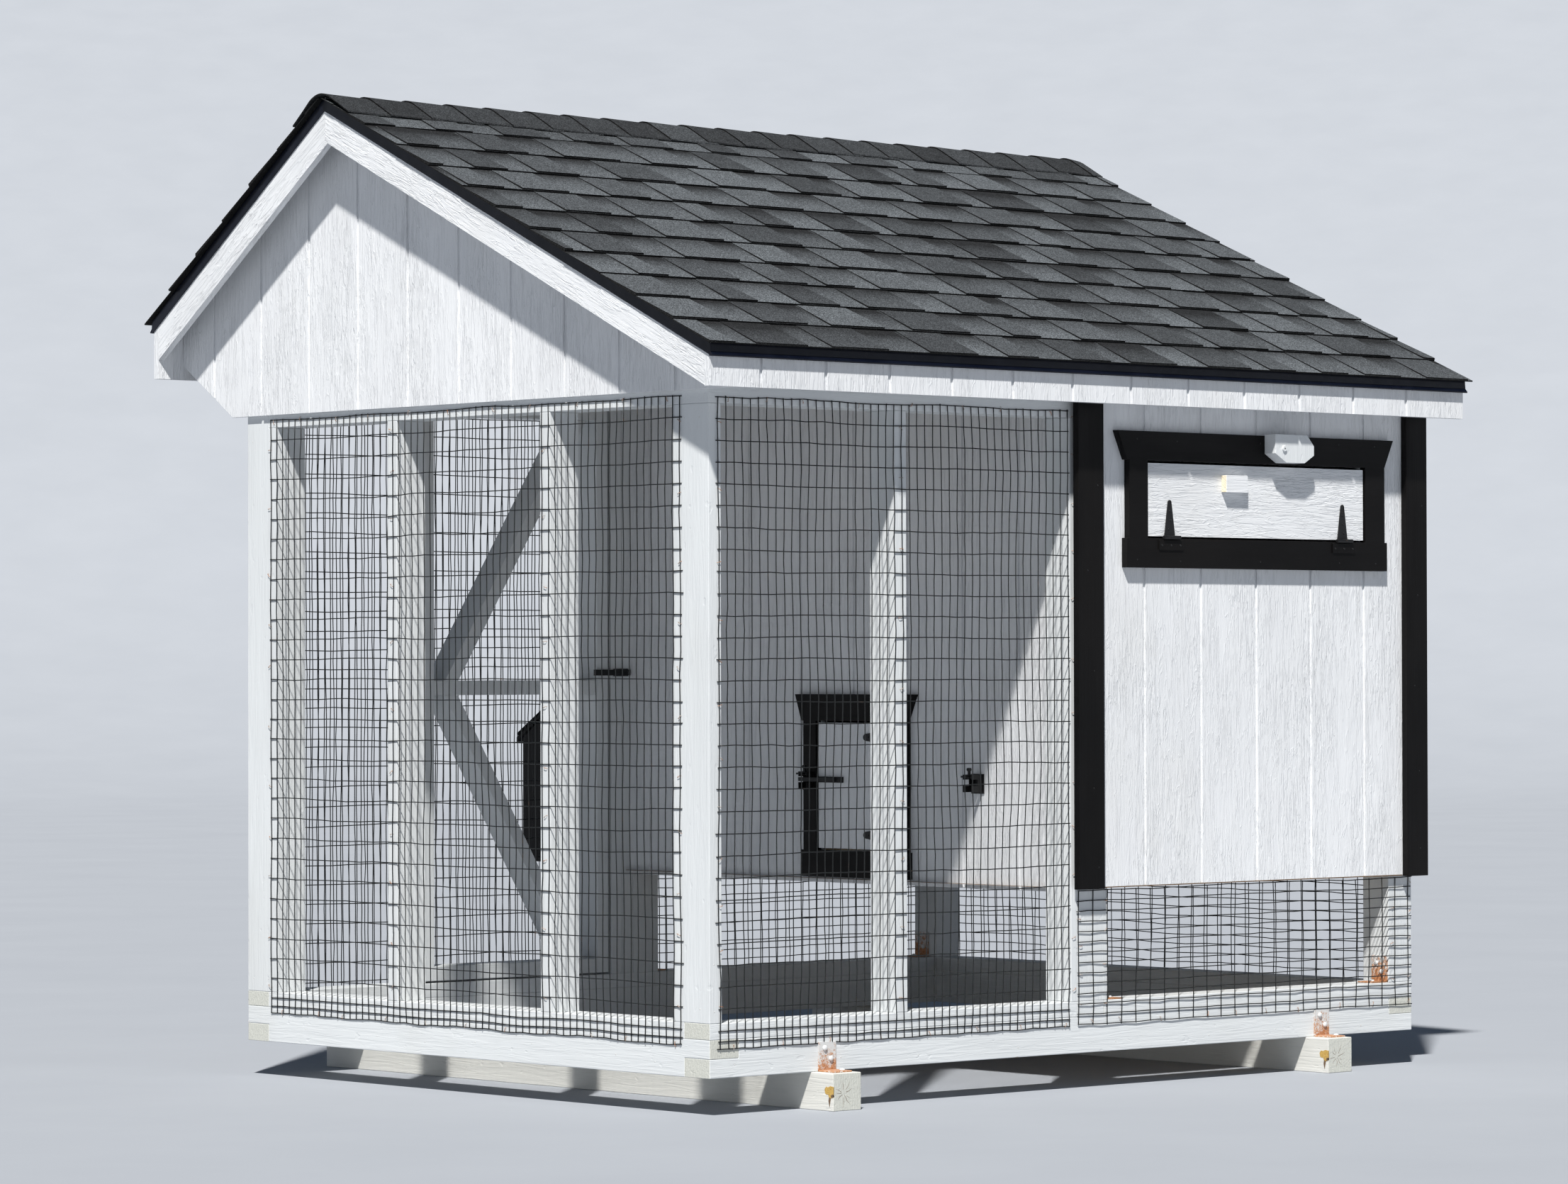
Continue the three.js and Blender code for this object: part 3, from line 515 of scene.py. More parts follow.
# ---------------------------------------------------------------- roof lines
RIDGE_Y, RIDGE_Z, FP, BP = 53.3, 93.15, 0.462, 0.7
FC = 1 / math.hypot(1, FP); FS = FP * FC
BC = 1 / math.hypot(1, BP); BS = BP * BC
DECK, COURSE = 0.45, 5.62
TIP_F, TIP_B = -4.7, 83.05
(X_LO, _, _), (X_HI, _, _) = box_in("roof_front")
front = lambda y: RIDGE_Z - FP * (RIDGE_Y - y)
back = lambda y: RIDGE_Z - BP * (y - RIDGE_Y)


def on_slope(side):
    if side > 0:
        return lambda x, d, n: (x, TIP_F + d * FC - n * FS, front(TIP_F) + d * FS + n * FC)
    return lambda x, d, n: (x, TIP_B - d * BC + n * BS, back(TIP_B) + d * BS + n * BC)


def tab(B, at, x0, x1, x2, x3, d0, d1, lo0, lo1, hi0, hi1, tone, band, wob=0.0):
    """One shingle tab: butt edge x0..x1 at d0, top edge x2..x3 at d1, thickness lo..hi."""
    j = [rnd.uniform(0.004, wob + 0.004) for _ in range(2)]
    lo = [at(x0, d0 + j[0], lo0), at(x1, d0 + j[1], lo0), at(x3, d1, lo1), at(x2, d1, lo1)]
    hi = [at(x0, d0 + j[0], hi0), at(x1, d0 + j[1], hi0), at(x3, d1, hi1), at(x2, d1, hi1)]
    face, edge = [(tone, 0, 0), (tone, 0, 0), (tone, band, 0), (tone, band, 0)], [(0, 0, 1)] * 4
    # the face and the cut edges keep separate colours, so their corners are doubled
    B.add(lo + hi + hi, [(0, 3, 2, 1), (0, 1, 5, 4), (1, 2, 6, 5), (2, 3, 7, 6), (3, 0, 4, 7), (8, 9, 10, 11)], col=edge + edge + face)


def shingles(name, side, node):
    B = Build()
    at = on_slope(side)
    L = (RIDGE_Y - TIP_F) / FC if side > 0 else (TIP_B - RIDGE_Y) / BC
    d, i = 0.0, 0
    while d < L - 0.4:
        d1 = min(d + COURSE + 0.35, L - 0.06)
        up = 0.0 if i == 0 or d > L - 2.2 * COURSE else 0.085    # curl of the butts clear of the course below
        x = X_LO + 0.04 - rnd.uniform(0, 6)
        tooth = i % 2 == 0
        while x < X_HI:
            w = rnd.uniform(3.6, 7.8) if tooth else rnd.uniform(2.2, 5.8)
            a, b = max(x, X_LO + 0.05 + rnd.uniform(0, 0.12)), min(x + w, X_HI - 0.05 - rnd.uniform(0, 0.12))
            if b - a > 0.5:
                tone = rnd.choice((0.34, 0.42, 0.56, 0.74, 0.86)) + rnd.uniform(-0.05, 0.05) if tooth else rnd.choice((0.66, 0.86, 1.0)) + rnd.uniform(-0.05, 0.05)
                # lower lamina under everything
                tab(B, at, a - 0.02, b + 0.02, a - 0.02, b + 0.02, d, d1, DECK + 0.01, DECK - 0.01, DECK + 0.15 + up * 0.8, DECK + 0.012,
                    tone if not tooth else 0.3, rnd.uniform(0.85, 1.1) if not tooth else 0.2, 0.0)
                if tooth:
                    s0, s1 = rnd.uniform(0.05, 0.4), rnd.uniform(0.05, 0.4)
                    tab(B, at, a, b, min(a + s0, b - 0.3) if a > X_LO + 0.3 else a, max(b - s1, a + 0.3) if b < X_HI - 0.3 else b,
                        d, d1, DECK + 0.08, DECK + 0.0, DECK + 0.277 + up, DECK + 0.06, tone, rnd.choice((0.1, 0.35, 0.6, 0.8)), 0.07)
            x += w
            tooth = not tooth
        d += COURSE
        i += 1
    return B.obj(name, "shingle", "frame", "shingle", [node])


shingles("shingles_front", 1, "roof_front")
shingles("shingles_back", -1, "roof_back")

# sheathing under the shingles: plywood inside, painted where it overhangs the gables
B = Build()
for y0, y1, line, c in ((-4.2, RIDGE_Y - 0.02, front, FC), (RIDGE_Y + 0.02, 82.3, back, BC)):
    for x0, x1, mt in ((-3.46, -0.46, 1), (-0.46, 24, 0), (24.06, 72, 0), (72.06, 96.5, 0), (96.5, 99.46, 1)):
        t = (DECK - 0.02) / c
        B.prism("x", [(y0, line(y0)), (y1, line(y1)), (y1, line(y1) + t), (y0, line(y0) + t)], x0, x1, mat=mt)
B.obj("roof_sheathing", ["ply", "paint_y"], "frame", "floor_ply")

# ridge caps, one bent tab over the next towards the run's gable
B = Build()
cap_lo, cap_hi = box_in("ridge_cap")


def cap_profile(n, leg, lift=0.30):
    """Section of one cap: legs flat on each slope at height n, the middle bent round."""
    def pt(side, d, h):
        h += n
        ya = RIDGE_Y + (h / BC - h / FC) / (FP + BP)
        za = front(ya) + h / FC
        return (ya - d * FC, za - d * FS) if side < 0 else (ya + d * BC, za - d * BS)
    r = 1.9
    p0, p1, p2 = pt(-1, r, lift * 0.8), pt(-1, 0, lift), pt(1, r, lift * 0.8)
    pts = [pt(-1, leg, 0.0), pt(-1, leg * 0.62, lift * 0.5)]
    for i in range(9):
        t = i / 8
        pts.append(tuple((1 - t) ** 2 * p0[q] + 2 * t * (1 - t) * p1[q] + t * t * p2[q] for q in (0, 1)))
    return pts + [pt(1, leg * 0.62, lift * 0.5), pt(1, leg, 0.0)]


x, i = X_LO + 0.08, 0
while x < X_HI - 1:
    x1 = min(x + 6.6, X_HI - 0.08)
    leg = 5.25 + rnd.uniform(-0.12, 0.2)
    hi0, hi1 = DECK + 0.43, DECK + 0.25
    tone = rnd.choice((0.14, 0.24, 0.36)) + rnd.uniform(-0.04, 0.04)
    rows = []
    for xx, n in ((x, hi0), (x1, hi1)):
        for th in (0.0, 0.12):
            rows.append([(xx + rnd.uniform(-0.02, 0.02), p[0], p[1]) for p in cap_profile(n - th, leg)])
    m = len(rows[0])
    v = rows[0] + rows[1] + rows[2] + rows[3] + rows[0] + rows[1]
    f = []
    for j in range(m - 1):
        f += [(j, j + 1, 2 * m + j + 1, 2 * m + j), (m + j, 3 * m + j, 3 * m + j + 1, m + j + 1),
              (4 * m + j, 5 * m + j, 5 * m + j + 1, 4 * m + j + 1), (2 * m + j, 2 * m + j + 1, 3 * m + j + 1, 3 * m + j)]
    f += [(0, 2 * m, 3 * m, m), (m - 1, 2 * m - 1, 4 * m - 1, 3 * m - 1)]
    B.add(v, f, col=[(tone, 0, 0)] * (4 * m) + [(0, 0, 1)] * (2 * m))
    x += 5.15 + rnd.uniform(-0.15, 0.15)
    i += 1
B.obj("ridge_cap_tabs", "shingle", "frame", "shingle", ["ridge_cap"])

# rafters, ridge board and the closed front soffit
B = Build()
dF, dB = 3.5 / FC, 3.5 / BC
for x0, house in ((0.2, 0), (15.4, 0), (31, 0), (45.85, 0), (48.15, 1), (64, 1), (79.5, 1), (94.3, 1)):
    x1 = x0 + 1.5
    B.prism("x", [(0.05, front(0.05) - dF + 0.06), (52.5, front(52.5) - dF), (52.5, front(52.5) - 0.05), (0.05, front(0.05) - 0.05)], x0, x1)
    B.prism("x", [(54.1, back(54.1) - dB), (70.95, back(70.95) - dB), (70.95, back(70.95) - 0.05), (54.1, back(54.1) - 0.05)], x0, x1)
    B.prism("x", [(71.56, back(71.56) - dB), (81.5, back(81.5) - dB), (81.5, back(81.5) - 0.05), (71.56, back(71.56) - 0.05)], x0, x1)
    if x0 not in (45.85, 48.15, 94.3):
        B.prism("x", [(-3.44, 64.0), (-1.6, 64.0), (-0.6, 64.4), (-0.6, front(-0.6) - 0.05), (-3.44, front(-3.44) - 0.05)], x0, x1)
for a, b in ((0.05, 47.35), (48.1, 95.9)):
    B.box(a, b, 52.55, 54.05, 88.4, 92.1)
B.obj("rafters", "rafter", "frame", "white_paint", bevel=0.05)
B = Build()
for a, b, y1 in ((0.1, 46.3, -0.18), (50.1, 93.9, -0.56)):
    B.box(a, b, -3.46, y1, 63.45, 63.8)
B.obj("soffit_front", "emboss_x", "frame", "white_siding", bevel=0.03)


# ---------------------------------------------------------------- welded wire
def fieldf(seed, amp, lu, lz, k=5):
    r = random.Random(seed)
    w = [(r.uniform(0.4, 1.6) * 2 * math.pi / lu, r.uniform(0.4, 1.6) * 2 * math.pi / lz, r.uniform(0, 6.28), r.uniform(0, 6.28)) for _ in range(k)]
    return lambda u, z: amp / k ** 0.5 * sum(np.sin(a * u + p) * np.sin(b * z + q) for a, b, p, q in w)


WR = 0.049


def wires(B, path, U, Z, du, dz, seed, posts=(), bulge=0.25, step=2.0, stub=0.3, v_out=True, rag=0.12, hem=False):
    """A sheet of welded wire. path(u, n) gives plan (x, y) at arc length u and outward offset n."""
    du_f, dn_f, dz_f = fieldf(seed, 0.10, 26, 20), fieldf(seed + 1, bulge * 0.5, 30, 26), fieldf(seed + 2, 0.09, 22, 30)
    fine_u, fine_z = fieldf(seed + 3, 0.045, 5, 7), fieldf(seed + 4, 0.04, 6, 5)
    edges = sorted(posts)

    def loose(u, z):
        """0 where the sheet is stapled to a post or rail, 1 in mid span."""
        u, z = np.asarray(u, float), np.asarray(z, float)
        d = np.full(np.broadcast(u, z).shape, 99.0)
        for a, b in edges:
            d = np.minimum(d, np.maximum(np.maximum(a - u, u - b), 0))
        d = np.minimum(d, np.maximum(np.minimum(z - 5.0, 61.7 - z), 0))
        return np.clip(d / 6.0, 0, 1) ** 1.2

    def pt(u, z, off):
        u, z = np.broadcast_arrays(np.asarray(u, float), np.asarray(z, float))
        s = loose(u, z)
        n = off + 0.05 + s * (bulge * 0.55 + dn_f(u, z)) + (1 - s) * 0.035 * (1 + np.sin(u * 1.3 + seed) * np.sin(z * 0.9))
        uu = u + du_f(u, z) + fine_u(u, z)
        zz = z + dz_f(u, z) + fine_z(u, z)
        xy = np.array([path(a, b) for a, b in zip(uu.ravel(), np.maximum(n, 0.03).ravel())])
        return np.column_stack([xy, zz.ravel()])

    r = random.Random(seed + 9)
    a, b = (WR * 0.75, -WR * 0.45) if v_out else (-WR * 0.45, WR * 0.75)
    us = np.arange(U[0], U[1] + 1e-6, du)
    zs = np.arange(Z[0], Z[1] + 1e-6, dz) if not hem else np.concatenate([[Z[0], Z[0] + 0.62], np.arange(Z[1] - 0.12, Z[0] + 1.3, -dz)[::-1]])
    for u in us:
        z = np.linspace(Z[0] - r.uniform(0.0, rag), zs[-1] + r.uniform(0.0, rag), max(3, int((Z[1] - Z[0]) / step)))
        B.tube(pt(u, z, a), WR, 6)
    for z in zs:
        u = np.linspace(U[0] - r.uniform(0.1, stub), us[-1] + r.uniform(0.1, stub), max(3, int((U[1] - U[0]) / (step if not (hem and z < Z[0] + 0.3) else 0.6))))
        p = pt(u, z, b)
        if hem and z < Z[0] + 0.3:
            p[:, 2] -= 0.09 * (1 - (2 * ((u + 0.7 * np.sin(u * 0.31)) / 4.6 % 1) - 1) ** 2)
        B.tube(p, WR, 6)


def staple(B, p, nrm, along_dir, w=0.42, h=0.09, r=0.028):
    nrm, t = np.array(nrm, float), np.array(along_dir, float)
    p = np.array(p, float)
    pts = [p - t * w / 2 - nrm * 0.05, p - t * w / 2 + nrm * h * 0.8, p - t * w * 0.36 + nrm * h, p + t * w * 0.36 + nrm * h, p + t * w / 2 + nrm * h * 0.8, p + t * w / 2 - nrm * 0.05]
    B.tube(pts, r, 5)


(gx0, gy0, gz0), (gx1, gy1, gz1) = box_in("mesh_gable")
B = Build()
wires(B, lambda u, n: (-n, u), (gy0 + 0.2, gy1 - 0.1), (gz0 + 0.1, gz1), 1, 2, 21, posts=((0, 5), (22.8, 24.3), (46.4, 47.9), (66, 71)), bulge=0.22, hem=True)
B.obj("wire_gable", "wire", "frame", "wire_mesh", ["mesh_gable"])
(fx0, _, fz0), (fx1, _, fz1) = box_in("mesh_front")
B = Build()
wires(B, lambda u, n: (u, -n), (fx0 + 0.1, fx1 - 0.1), (fz0 + 0.1, fz1), 1, 2, 37, posts=((0, 3.5), (23.25, 24.75), (46.5, 52)), bulge=0.3, hem=True)
B.obj("wire_run_front", "wire", "frame", "wire_mesh", ["mesh_front"])
(bx0, _, bz0), (bx1, _, bz1) = box_in("mesh_back")
B = Build()
wires(B, lambda u, n: (u, 71 + n), (bx0, bx1 - 0.2), (bz0 + 0.1, bz1), 1, 2, 53, posts=((0, 3), (18, 20)), bulge=0.15, hem=True)
B.obj("wire_run_back", "wire", "frame", "wire_mesh", ["mesh_back"])
(dx0, _, dz0), (dx1, _, dz1) = box_in("run_door_mesh")
B = Build()
wires(B, lambda u, n: (u, 70.97 + min(n, 0.095)), (dx0 + 0.1, dx1 - 0.1), (dz0 + 0.1, dz1), 1, 2, 71, posts=((19, 21.4), (43, 45)), bulge=0.02, stub=0.12)
B.obj("wire_run_door", "wire", "run_door_leaf", "wire_mesh", ["run_door_mesh"])

# under the house one strip runs round three sides, turned so its 1 in pitch is upright
(ux0, uy0, uz0), (ux1, uy1, uz1) = box_in("mesh_under_house")
LF, LR = 96 - 47.3, 71.0


def round_house(u, n):
    if u < LF:
        return (47.3 + u, -n)
    if u < LF + LR:
        return (96 + n, u - LF)
    return (96 - (u - LF - LR), 71 + n)


B = Build()
wires(B, round_house, (0.15, LF + LR + 49.6), (uz0 + 0.15, uz1 - 0.1), 2, 1, 91,
      posts=((0, 4.2), (45.2, 52.2), (LF + LR - 3.5, LF + LR + 3.5), (LF + LR + 44.5, LF + LR + 51)), bulge=0.16, step=1.6, v_out=False)
B.obj("wire_under_house", "wire", "frame", "wire_mesh", ["mesh_under_house"])

# staples along every stapled edge
B, BD = Build(), Build()
r = random.Random(5)


def row(B, p0, p1, pitch, nrm, off=0.05):
    p0, p1 = np.array(p0, float), np.array(p1, float)
    L = np.linalg.norm(p1 - p0)
    t0 = (p1 - p0) / L
    s = r.uniform(0.5, 2)
    side = np.cross(nrm, t0)
    while s < L:
        ang = r.uniform(-0.7, 0.7)
        p = p0 + t0 * s + side * r.uniform(-0.15, 0.15) + np.array(nrm) * off
        staple(B, p, nrm, side * math.cos(ang) + t0 * math.sin(ang))
        s += pitch * r.uniform(0.7, 1.3)


for y in (4.1, 23.6, 47.2, 67.2):
    row(B, (0, y, 5), (0, y, 62), 5.2, (-1, 0, 0))
row(B, (0, 4, 3.1), (0, 67.5, 3.1), 5.5, (-1, 0, 0)); row(B, (0, 4, 62.3), (0, 67.5, 62.3), 5.5, (-1, 0, 0))
for x in (1.25, 24.0, 46.9):
    row(B, (x, 0, 5), (x, 0, 62), 5.2, (0, -1, 0))
row(B, (1, 0, 2.9), (47, 0, 2.9), 5.2, (0, -1, 0)); row(B, (1, 0, 62.1), (47, 0, 62.1), 6, (0, -1, 0))
for x in (47.6, 51.2, 93.0, 95.6):
    row(B, (x, 0, 4), (x, 0, 15.6), 3.6, (0, -1, 0))
row(B, (47.6, 0, 2.95), (95.8, 0, 2.95), 5.2, (0, -1, 0))
for y in (0.6, 3.2, 67.8, 70.4):
    row(B, (96, y, 4), (96, y, 15.6), 3.6, (1, 0, 0))
row(B, (96, 0.6, 2.95), (96, 70.6, 2.95), 5.2, (1, 0, 0))
for x in (1.1, 18.4):
    row(B, (x, 71, 4), (x, 71, 65), 5.4, (0, 1, 0))
row(B, (1, 71, 3.0), (18.5, 71, 3.0), 4.5, (0, 1, 0)); row(B, (47, 71, 2.95), (95.8, 71, 2.95), 5.2, (0, 1, 0))
for x in (93.0, 95.5, 46.6, 51.0):
    row(B, (x, 71, 4), (x, 71, 15.5), 3.6, (0, 1, 0))
B.obj("staples", "staple", "frame", "wire_mesh")
for x in (20.3, 43.9):
    row(BD, (x, 70.95, 6), (x, 70.95, 64.6), 5.2, (0, 1, 0))
row(BD, (20, 70.95, 5.9), (44.3, 70.95, 5.9), 5, (0, 1, 0)); row(BD, (20, 70.95, 64.5), (44.3, 70.95, 64.5), 5, (0, 1, 0))
BD.obj("staples_run_door", "staple", "run_door_leaf", "wire_mesh")

# ---------------------------------------------------------------- person door: separate boards with their joints
(rx0, ry0, rz0), (rx1, ry1, rz1) = box_in("run_door")
B = Build()
S = 1.5
B.box(rx0, rx0 + S, ry0, ry1, rz0, rz1); B.box(rx1 - S, rx1, ry0, ry1, rz0, rz1)
B.obj("run_door_stiles", "paint_z", "run_door_leaf", "white_paint", ["run_door"], bevel=0.06)
B = Build()
for z0, z1 in ((rz0, rz0 + S), (34.7, 36.2), (rz1 - S, rz1)):
    B.box(rx0 + S + 0.015, rx1 - S - 0.015, ry0 + 0.01, ry1 - 0.01, z0, z1)
B.obj("run_door_rails", "paint_x", "run_door_leaf", "white_paint", ["run_door"], bevel=0.06)
B = Build()


def brace(xa, za, xb, zb):
    w = 0.75 / math.sin(math.atan2(abs(zb - za), abs(xb - xa)))
    B.prism("y", [(xa - w, za), (xa + w, za), (xb + w, zb), (xb - w, zb)], ry0 + 0.02, ry1 - 0.02)


brace(23.525, 36.215, 40.865, rz1 - S - 0.015)
brace(40.18, rz0 + S + 0.015, 23.47, 34.685)
B.obj("run_door_braces", "paint_z", "run_door_leaf", "white_paint", ["run_door"], bevel=0.06)

# back mid post: painted lumber with the black stop bar screwed to it
B = Build()
B.box(45, 46.47, 67.5, 71, 5.012, 65.288); B.box(46.53, 47.97, 67.5, 71, 5.012, 65.288); B.box(48.03, 51.5, 67.5, 71, 5.012, 65.288)
B.obj("mid_post_back_studs", "paint_z", "frame", "white_paint", ["mid_post_back"], bevel=0.055)
B = Build()
B.box(42.4, 47.3, 67.05, 67.3, 36.68, 37.32)
for x in (45.6, 46.9):
    B.disc_head((x, 67.05, 37), (0, -1, 0), 0.14, 0.07)
B.box(45.3, 47.2, 67.3, 67.5, 36.6, 37.4)
B.obj("door_stop_bar", "iron", "frame", "black_iron", ["mid_post_back"], bevel=0.05)

# ---------------------------------------------------------------- hardware details
B = Build()      # base brackets, each a bent plate with bolts
BB = Build()
for bx in (13.3, 81.1):
    for y, s in ((0.0, -1), (71.0, 1)):
        a, b = sorted((y + s * 0.01, y + s * 0.13))
        B.box(bx, bx + 2.2, a, b, -0.0, 2.75)
        a, b = sorted((y + s * 0.01, y + s * 2.3))
        B.box(bx, bx + 2.2, a, b, -0.005, 0.125)
        for x, z in ((bx + 0.75, 2.15), (bx + 1.5, 1.15)):
            BB.disc_head((x, y + s * 0.13, z), (0, s, 0), 0.27, 0.2, n=16)
        BB.disc_head((bx + 1.6, y + s * 1.6, 0.125), (0, 0, 1), 0.27, 0.18, n=16)
B.obj("base_brackets", "bracket", "frame", "white_paint", bevel=0.03)
BB.obj("base_bolts", "paint_z", "frame", "white_paint")
B = Build()      # angle brackets at the feet of the house posts
BB = Build()
for node, s in (("corner_post_front_right", -1), ("mid_post_front", 1), ("corner_post_back_right", -1), ("mid_post_back", 1)):
    (px0, py0, pz0), (px1, py1, _) = box_in(node)
    face = px0 if s < 0 else px1
    y0 = 0.12 if py0 < 30 else 71 - 2.27
    a, b = sorted((face + s * 0.01, face + s * 0.13))
    B.box(a, b, y0, y0 + 2.15, 5.01, 7.75)
    a, b = sorted((face + s * 0.01, face + s * 2.25))
    B.box(a, b, y0, y0 + 2.15, 5.01, 5.13)
    for y, z in ((y0 + 1.45, 7.0), (y0 + 0.75, 6.1)):
        BB.disc_head((face + s * 0.13, y, z), (s, 0, 0), 0.25, 0.16, n=14)
    BB.disc_head((face + s * 1.35, y0 + 1.0, 5.13), (0, 0, 1), 0.27, 0.2, n=14)
B.obj("post_foot_brackets", "bracket_foot", "frame", "white_paint", bevel=0.03)
BB.obj("post_foot_bolts", "paint_z", "frame", "white_paint")

B = Build()      # screw heads in the strap hinges and latches
for node in ("hatch_strap_left", "hatch_strap_right"):
    (a, _, c), (b, _, d) = box_in(node)
    xm = (a + b) / 2
    for z in (51.0, 51.9, 52.8):
        B.disc_head((xm + rnd.uniform(-0.12, 0.12) * (53.5 - z), -1.17, z), (0, -1, 0), 0.115, 0.045)
B.obj("hatch_screws", "iron", "hatch", "black_iron")
B = Build()
for node in ("hatch_strap_left", "hatch_strap_right"):
    (a, _, _), (b, _, _) = box_in(node)
    xm = (a + b) / 2
    for dx in (-1.3, 0, 1.3):
        B.disc_head((xm + dx, -1.37, 49.42), (0, -1, 0), 0.115, 0.045)
for z in (30.4, 20.5):
    for dz in (-1.1, 0, 1.1):
        B.disc_head((46.63, 25.4, z + dz), (-1, 0, 0), 0.11, 0.045)
B.obj("fixed_leaf_screws", "iron", "frame", "black_iron")
B = Build()
for z in (30.4, 20.5):
    for y in (27.3, 28.3, 29.3):
        B.disc_head((46.83, y, z), (-1, 0, 0), 0.11, 0.045)
B.disc_head((46.6, 33.45, 26.05), (-1, 0, 0), 0.14, 0.06)
B.obj("pop_door_screws", "iron", "pop_door", "black_iron")
B = Build()
for z in (58, 12):
    for dz in (-1.2, 0, 1.2):
        B.disc_head((20.75, 71.22, z + dz), (0, 1, 0), 0.12, 0.05)
B.obj("run_door_hinge_screws", "iron", "run_door_leaf", "black_iron")
B = Build()      # fixed leaves of the run door hinges
for z in (58, 12):
    B.box(18.72, 19.44, 71.01, 71.13, z - 1.75, z + 1.75)
    for dz in (-1.3, 0, 1.3):
        B.disc_head((19.05, 71.13, z + dz), (0, 1, 0), 0.11, 0.05)
B.obj("run_door_fixed_leaves", "iron", "frame", "black_iron", bevel=0.02)
B = Build()
(ax, ay, az), (bx, by, bz) = box_in("turn_button")
B.disc_head((74.05, ay + 0.02, 59.3), (0, -1, 0), 0.2, 0.02)
B.obj("turn_button_screw", "nail", "turn_button_body", "white_paint")

# nails and set screws in the trim and posts
B = Build()
for x in (54.6, 89.2, 60.5, 83.5, 72):
    for z in (48.0, 59.8):
        B.disc_head((x + rnd.uniform(-0.4, 0.4), -1.25, z + rnd.uniform(-0.2, 0.2)), (0, -1, 0), 0.085, 0.02, 8)
for z in range(18, 62, 9):
    B.disc_head((48.2 + rnd.uniform(-1, 1), -1.25, z + rnd.uniform(-2, 2)), (0, -1, 0), 0.08, 0.02, 8)
    B.disc_head((95.8 + rnd.uniform(-0.9, 0.9), -1.25, z + rnd.uniform(-2, 2)), (0, -1, 0), 0.08, 0.02, 8)
B.obj("trim_nails", "iron", "frame", "black_trim")
B = Build()
for x in (0.8, 49.4, 95.0, 24.0):
    for z in (6.2, 10.5, 58.5, 60.8):
        if x != 24.0:
            B.disc_head((x + rnd.uniform(-0.3, 0.3), 0, z + rnd.uniform(-0.5, 0.5)), (0, -1, 0), 0.07, 0.015, 10)
for y in (1.2, 3.6, 67.4, 70.1):
    for z in (6.3, 60.4):
        B.disc_head((0, y + rnd.uniform(-0.3, 0.3), z), (-1, 0, 0), 0.07, 0.015, 10)
for x in range(4, 96, 12):
    B.disc_head((x + rnd.uniform(-2, 2), 0, 0.9 + rnd.uniform(-0.3, 0.3)), (0, -1, 0), 0.07, 0.015, 10)
for y in range(6, 70, 9):
    B.disc_head((0, y + rnd.uniform(-2, 2), 1.5 + rnd.uniform(-0.6, 0.6)), (-1, 0, 0), 0.07, 0.015, 10)
B.obj("lumber_nails", "nail", "frame", "white_paint")

# bare knots, weeps and drying checks on the skid ends
B = Build()
for x0 in (12.5, 80.0):
    B.prism("x", [(-3.0, -1.22), (-2.6, -1.17), (-2.28, -1.3), (-2.05, -1.24), (-1.82, -1.5), (-1.9, -1.86), (-2.12, -1.98), (-2.3, -1.95), (-2.42, -2.22), (-2.7, -2.3), (-3.0, -2.2)], x0 - 0.02, x0 + 0.1)
    B.prism("x", [(-2.68, -2.28), (-2.42, -2.2), (-2.36, -2.55), (-2.44, -2.9), (-2.5, -3.12), (-2.56, -2.85)], x0 - 0.022, x0 + 0.1, mat=1)
    B.prism("x", [(-3.0, -1.95), (-2.85, -1.9), (-2.72, -2.05), (-2.7, -2.2), (-2.82, -2.26), (-3.0, -2.18)], x0 - 0.026, x0 + 0.1, mat=1)
    cx, cz = x0 + 1.3, -1.9
    for q in range(9):
        a = 0.4 + q * 0.7 + rnd.uniform(-0.25, 0.25)
        r0, r1, wd = rnd.uniform(0.1, 0.5), rnd.uniform(0.8, 1.5), rnd.uniform(0.010, 0.022)
        ca, sa = math.cos(a), math.sin(a)
        bend = rnd.uniform(-0.12, 0.12)
        B.prism("y", [(cx + r0 * ca - wd * sa, cz + r0 * sa + wd * ca), (cx + r0 * ca + wd * sa, cz + r0 * sa - wd * ca),
                      (cx + (r0 + r1) / 2 * ca + (wd + bend) * sa, cz + (r0 + r1) / 2 * sa - (wd + bend) * ca), (cx + r1 * ca, cz + r1 * sa),
                      (cx + (r0 + r1) / 2 * ca + (bend - wd) * sa, cz + (r0 + r1) / 2 * sa - (bend - wd) * ca)], -3.006, -2.95, mat=1)
B.obj("skid_knots", ["knot", "weep"], "frame", "white_paint")
B = Build()      # unpainted lower edges of the siding sheets
B.box(49.96, 94.08, -0.512, -0.05, 15.955, 16.06)
B.box(96.05, 96.5, 2.3, 68.7, 15.955, 15.995)
B.box(47.0, 47.45, 0.6, 70.8, 16.0 - 0.045, 15.995)
B.obj("siding_raw_edge", "weep", "frame", "white_siding")

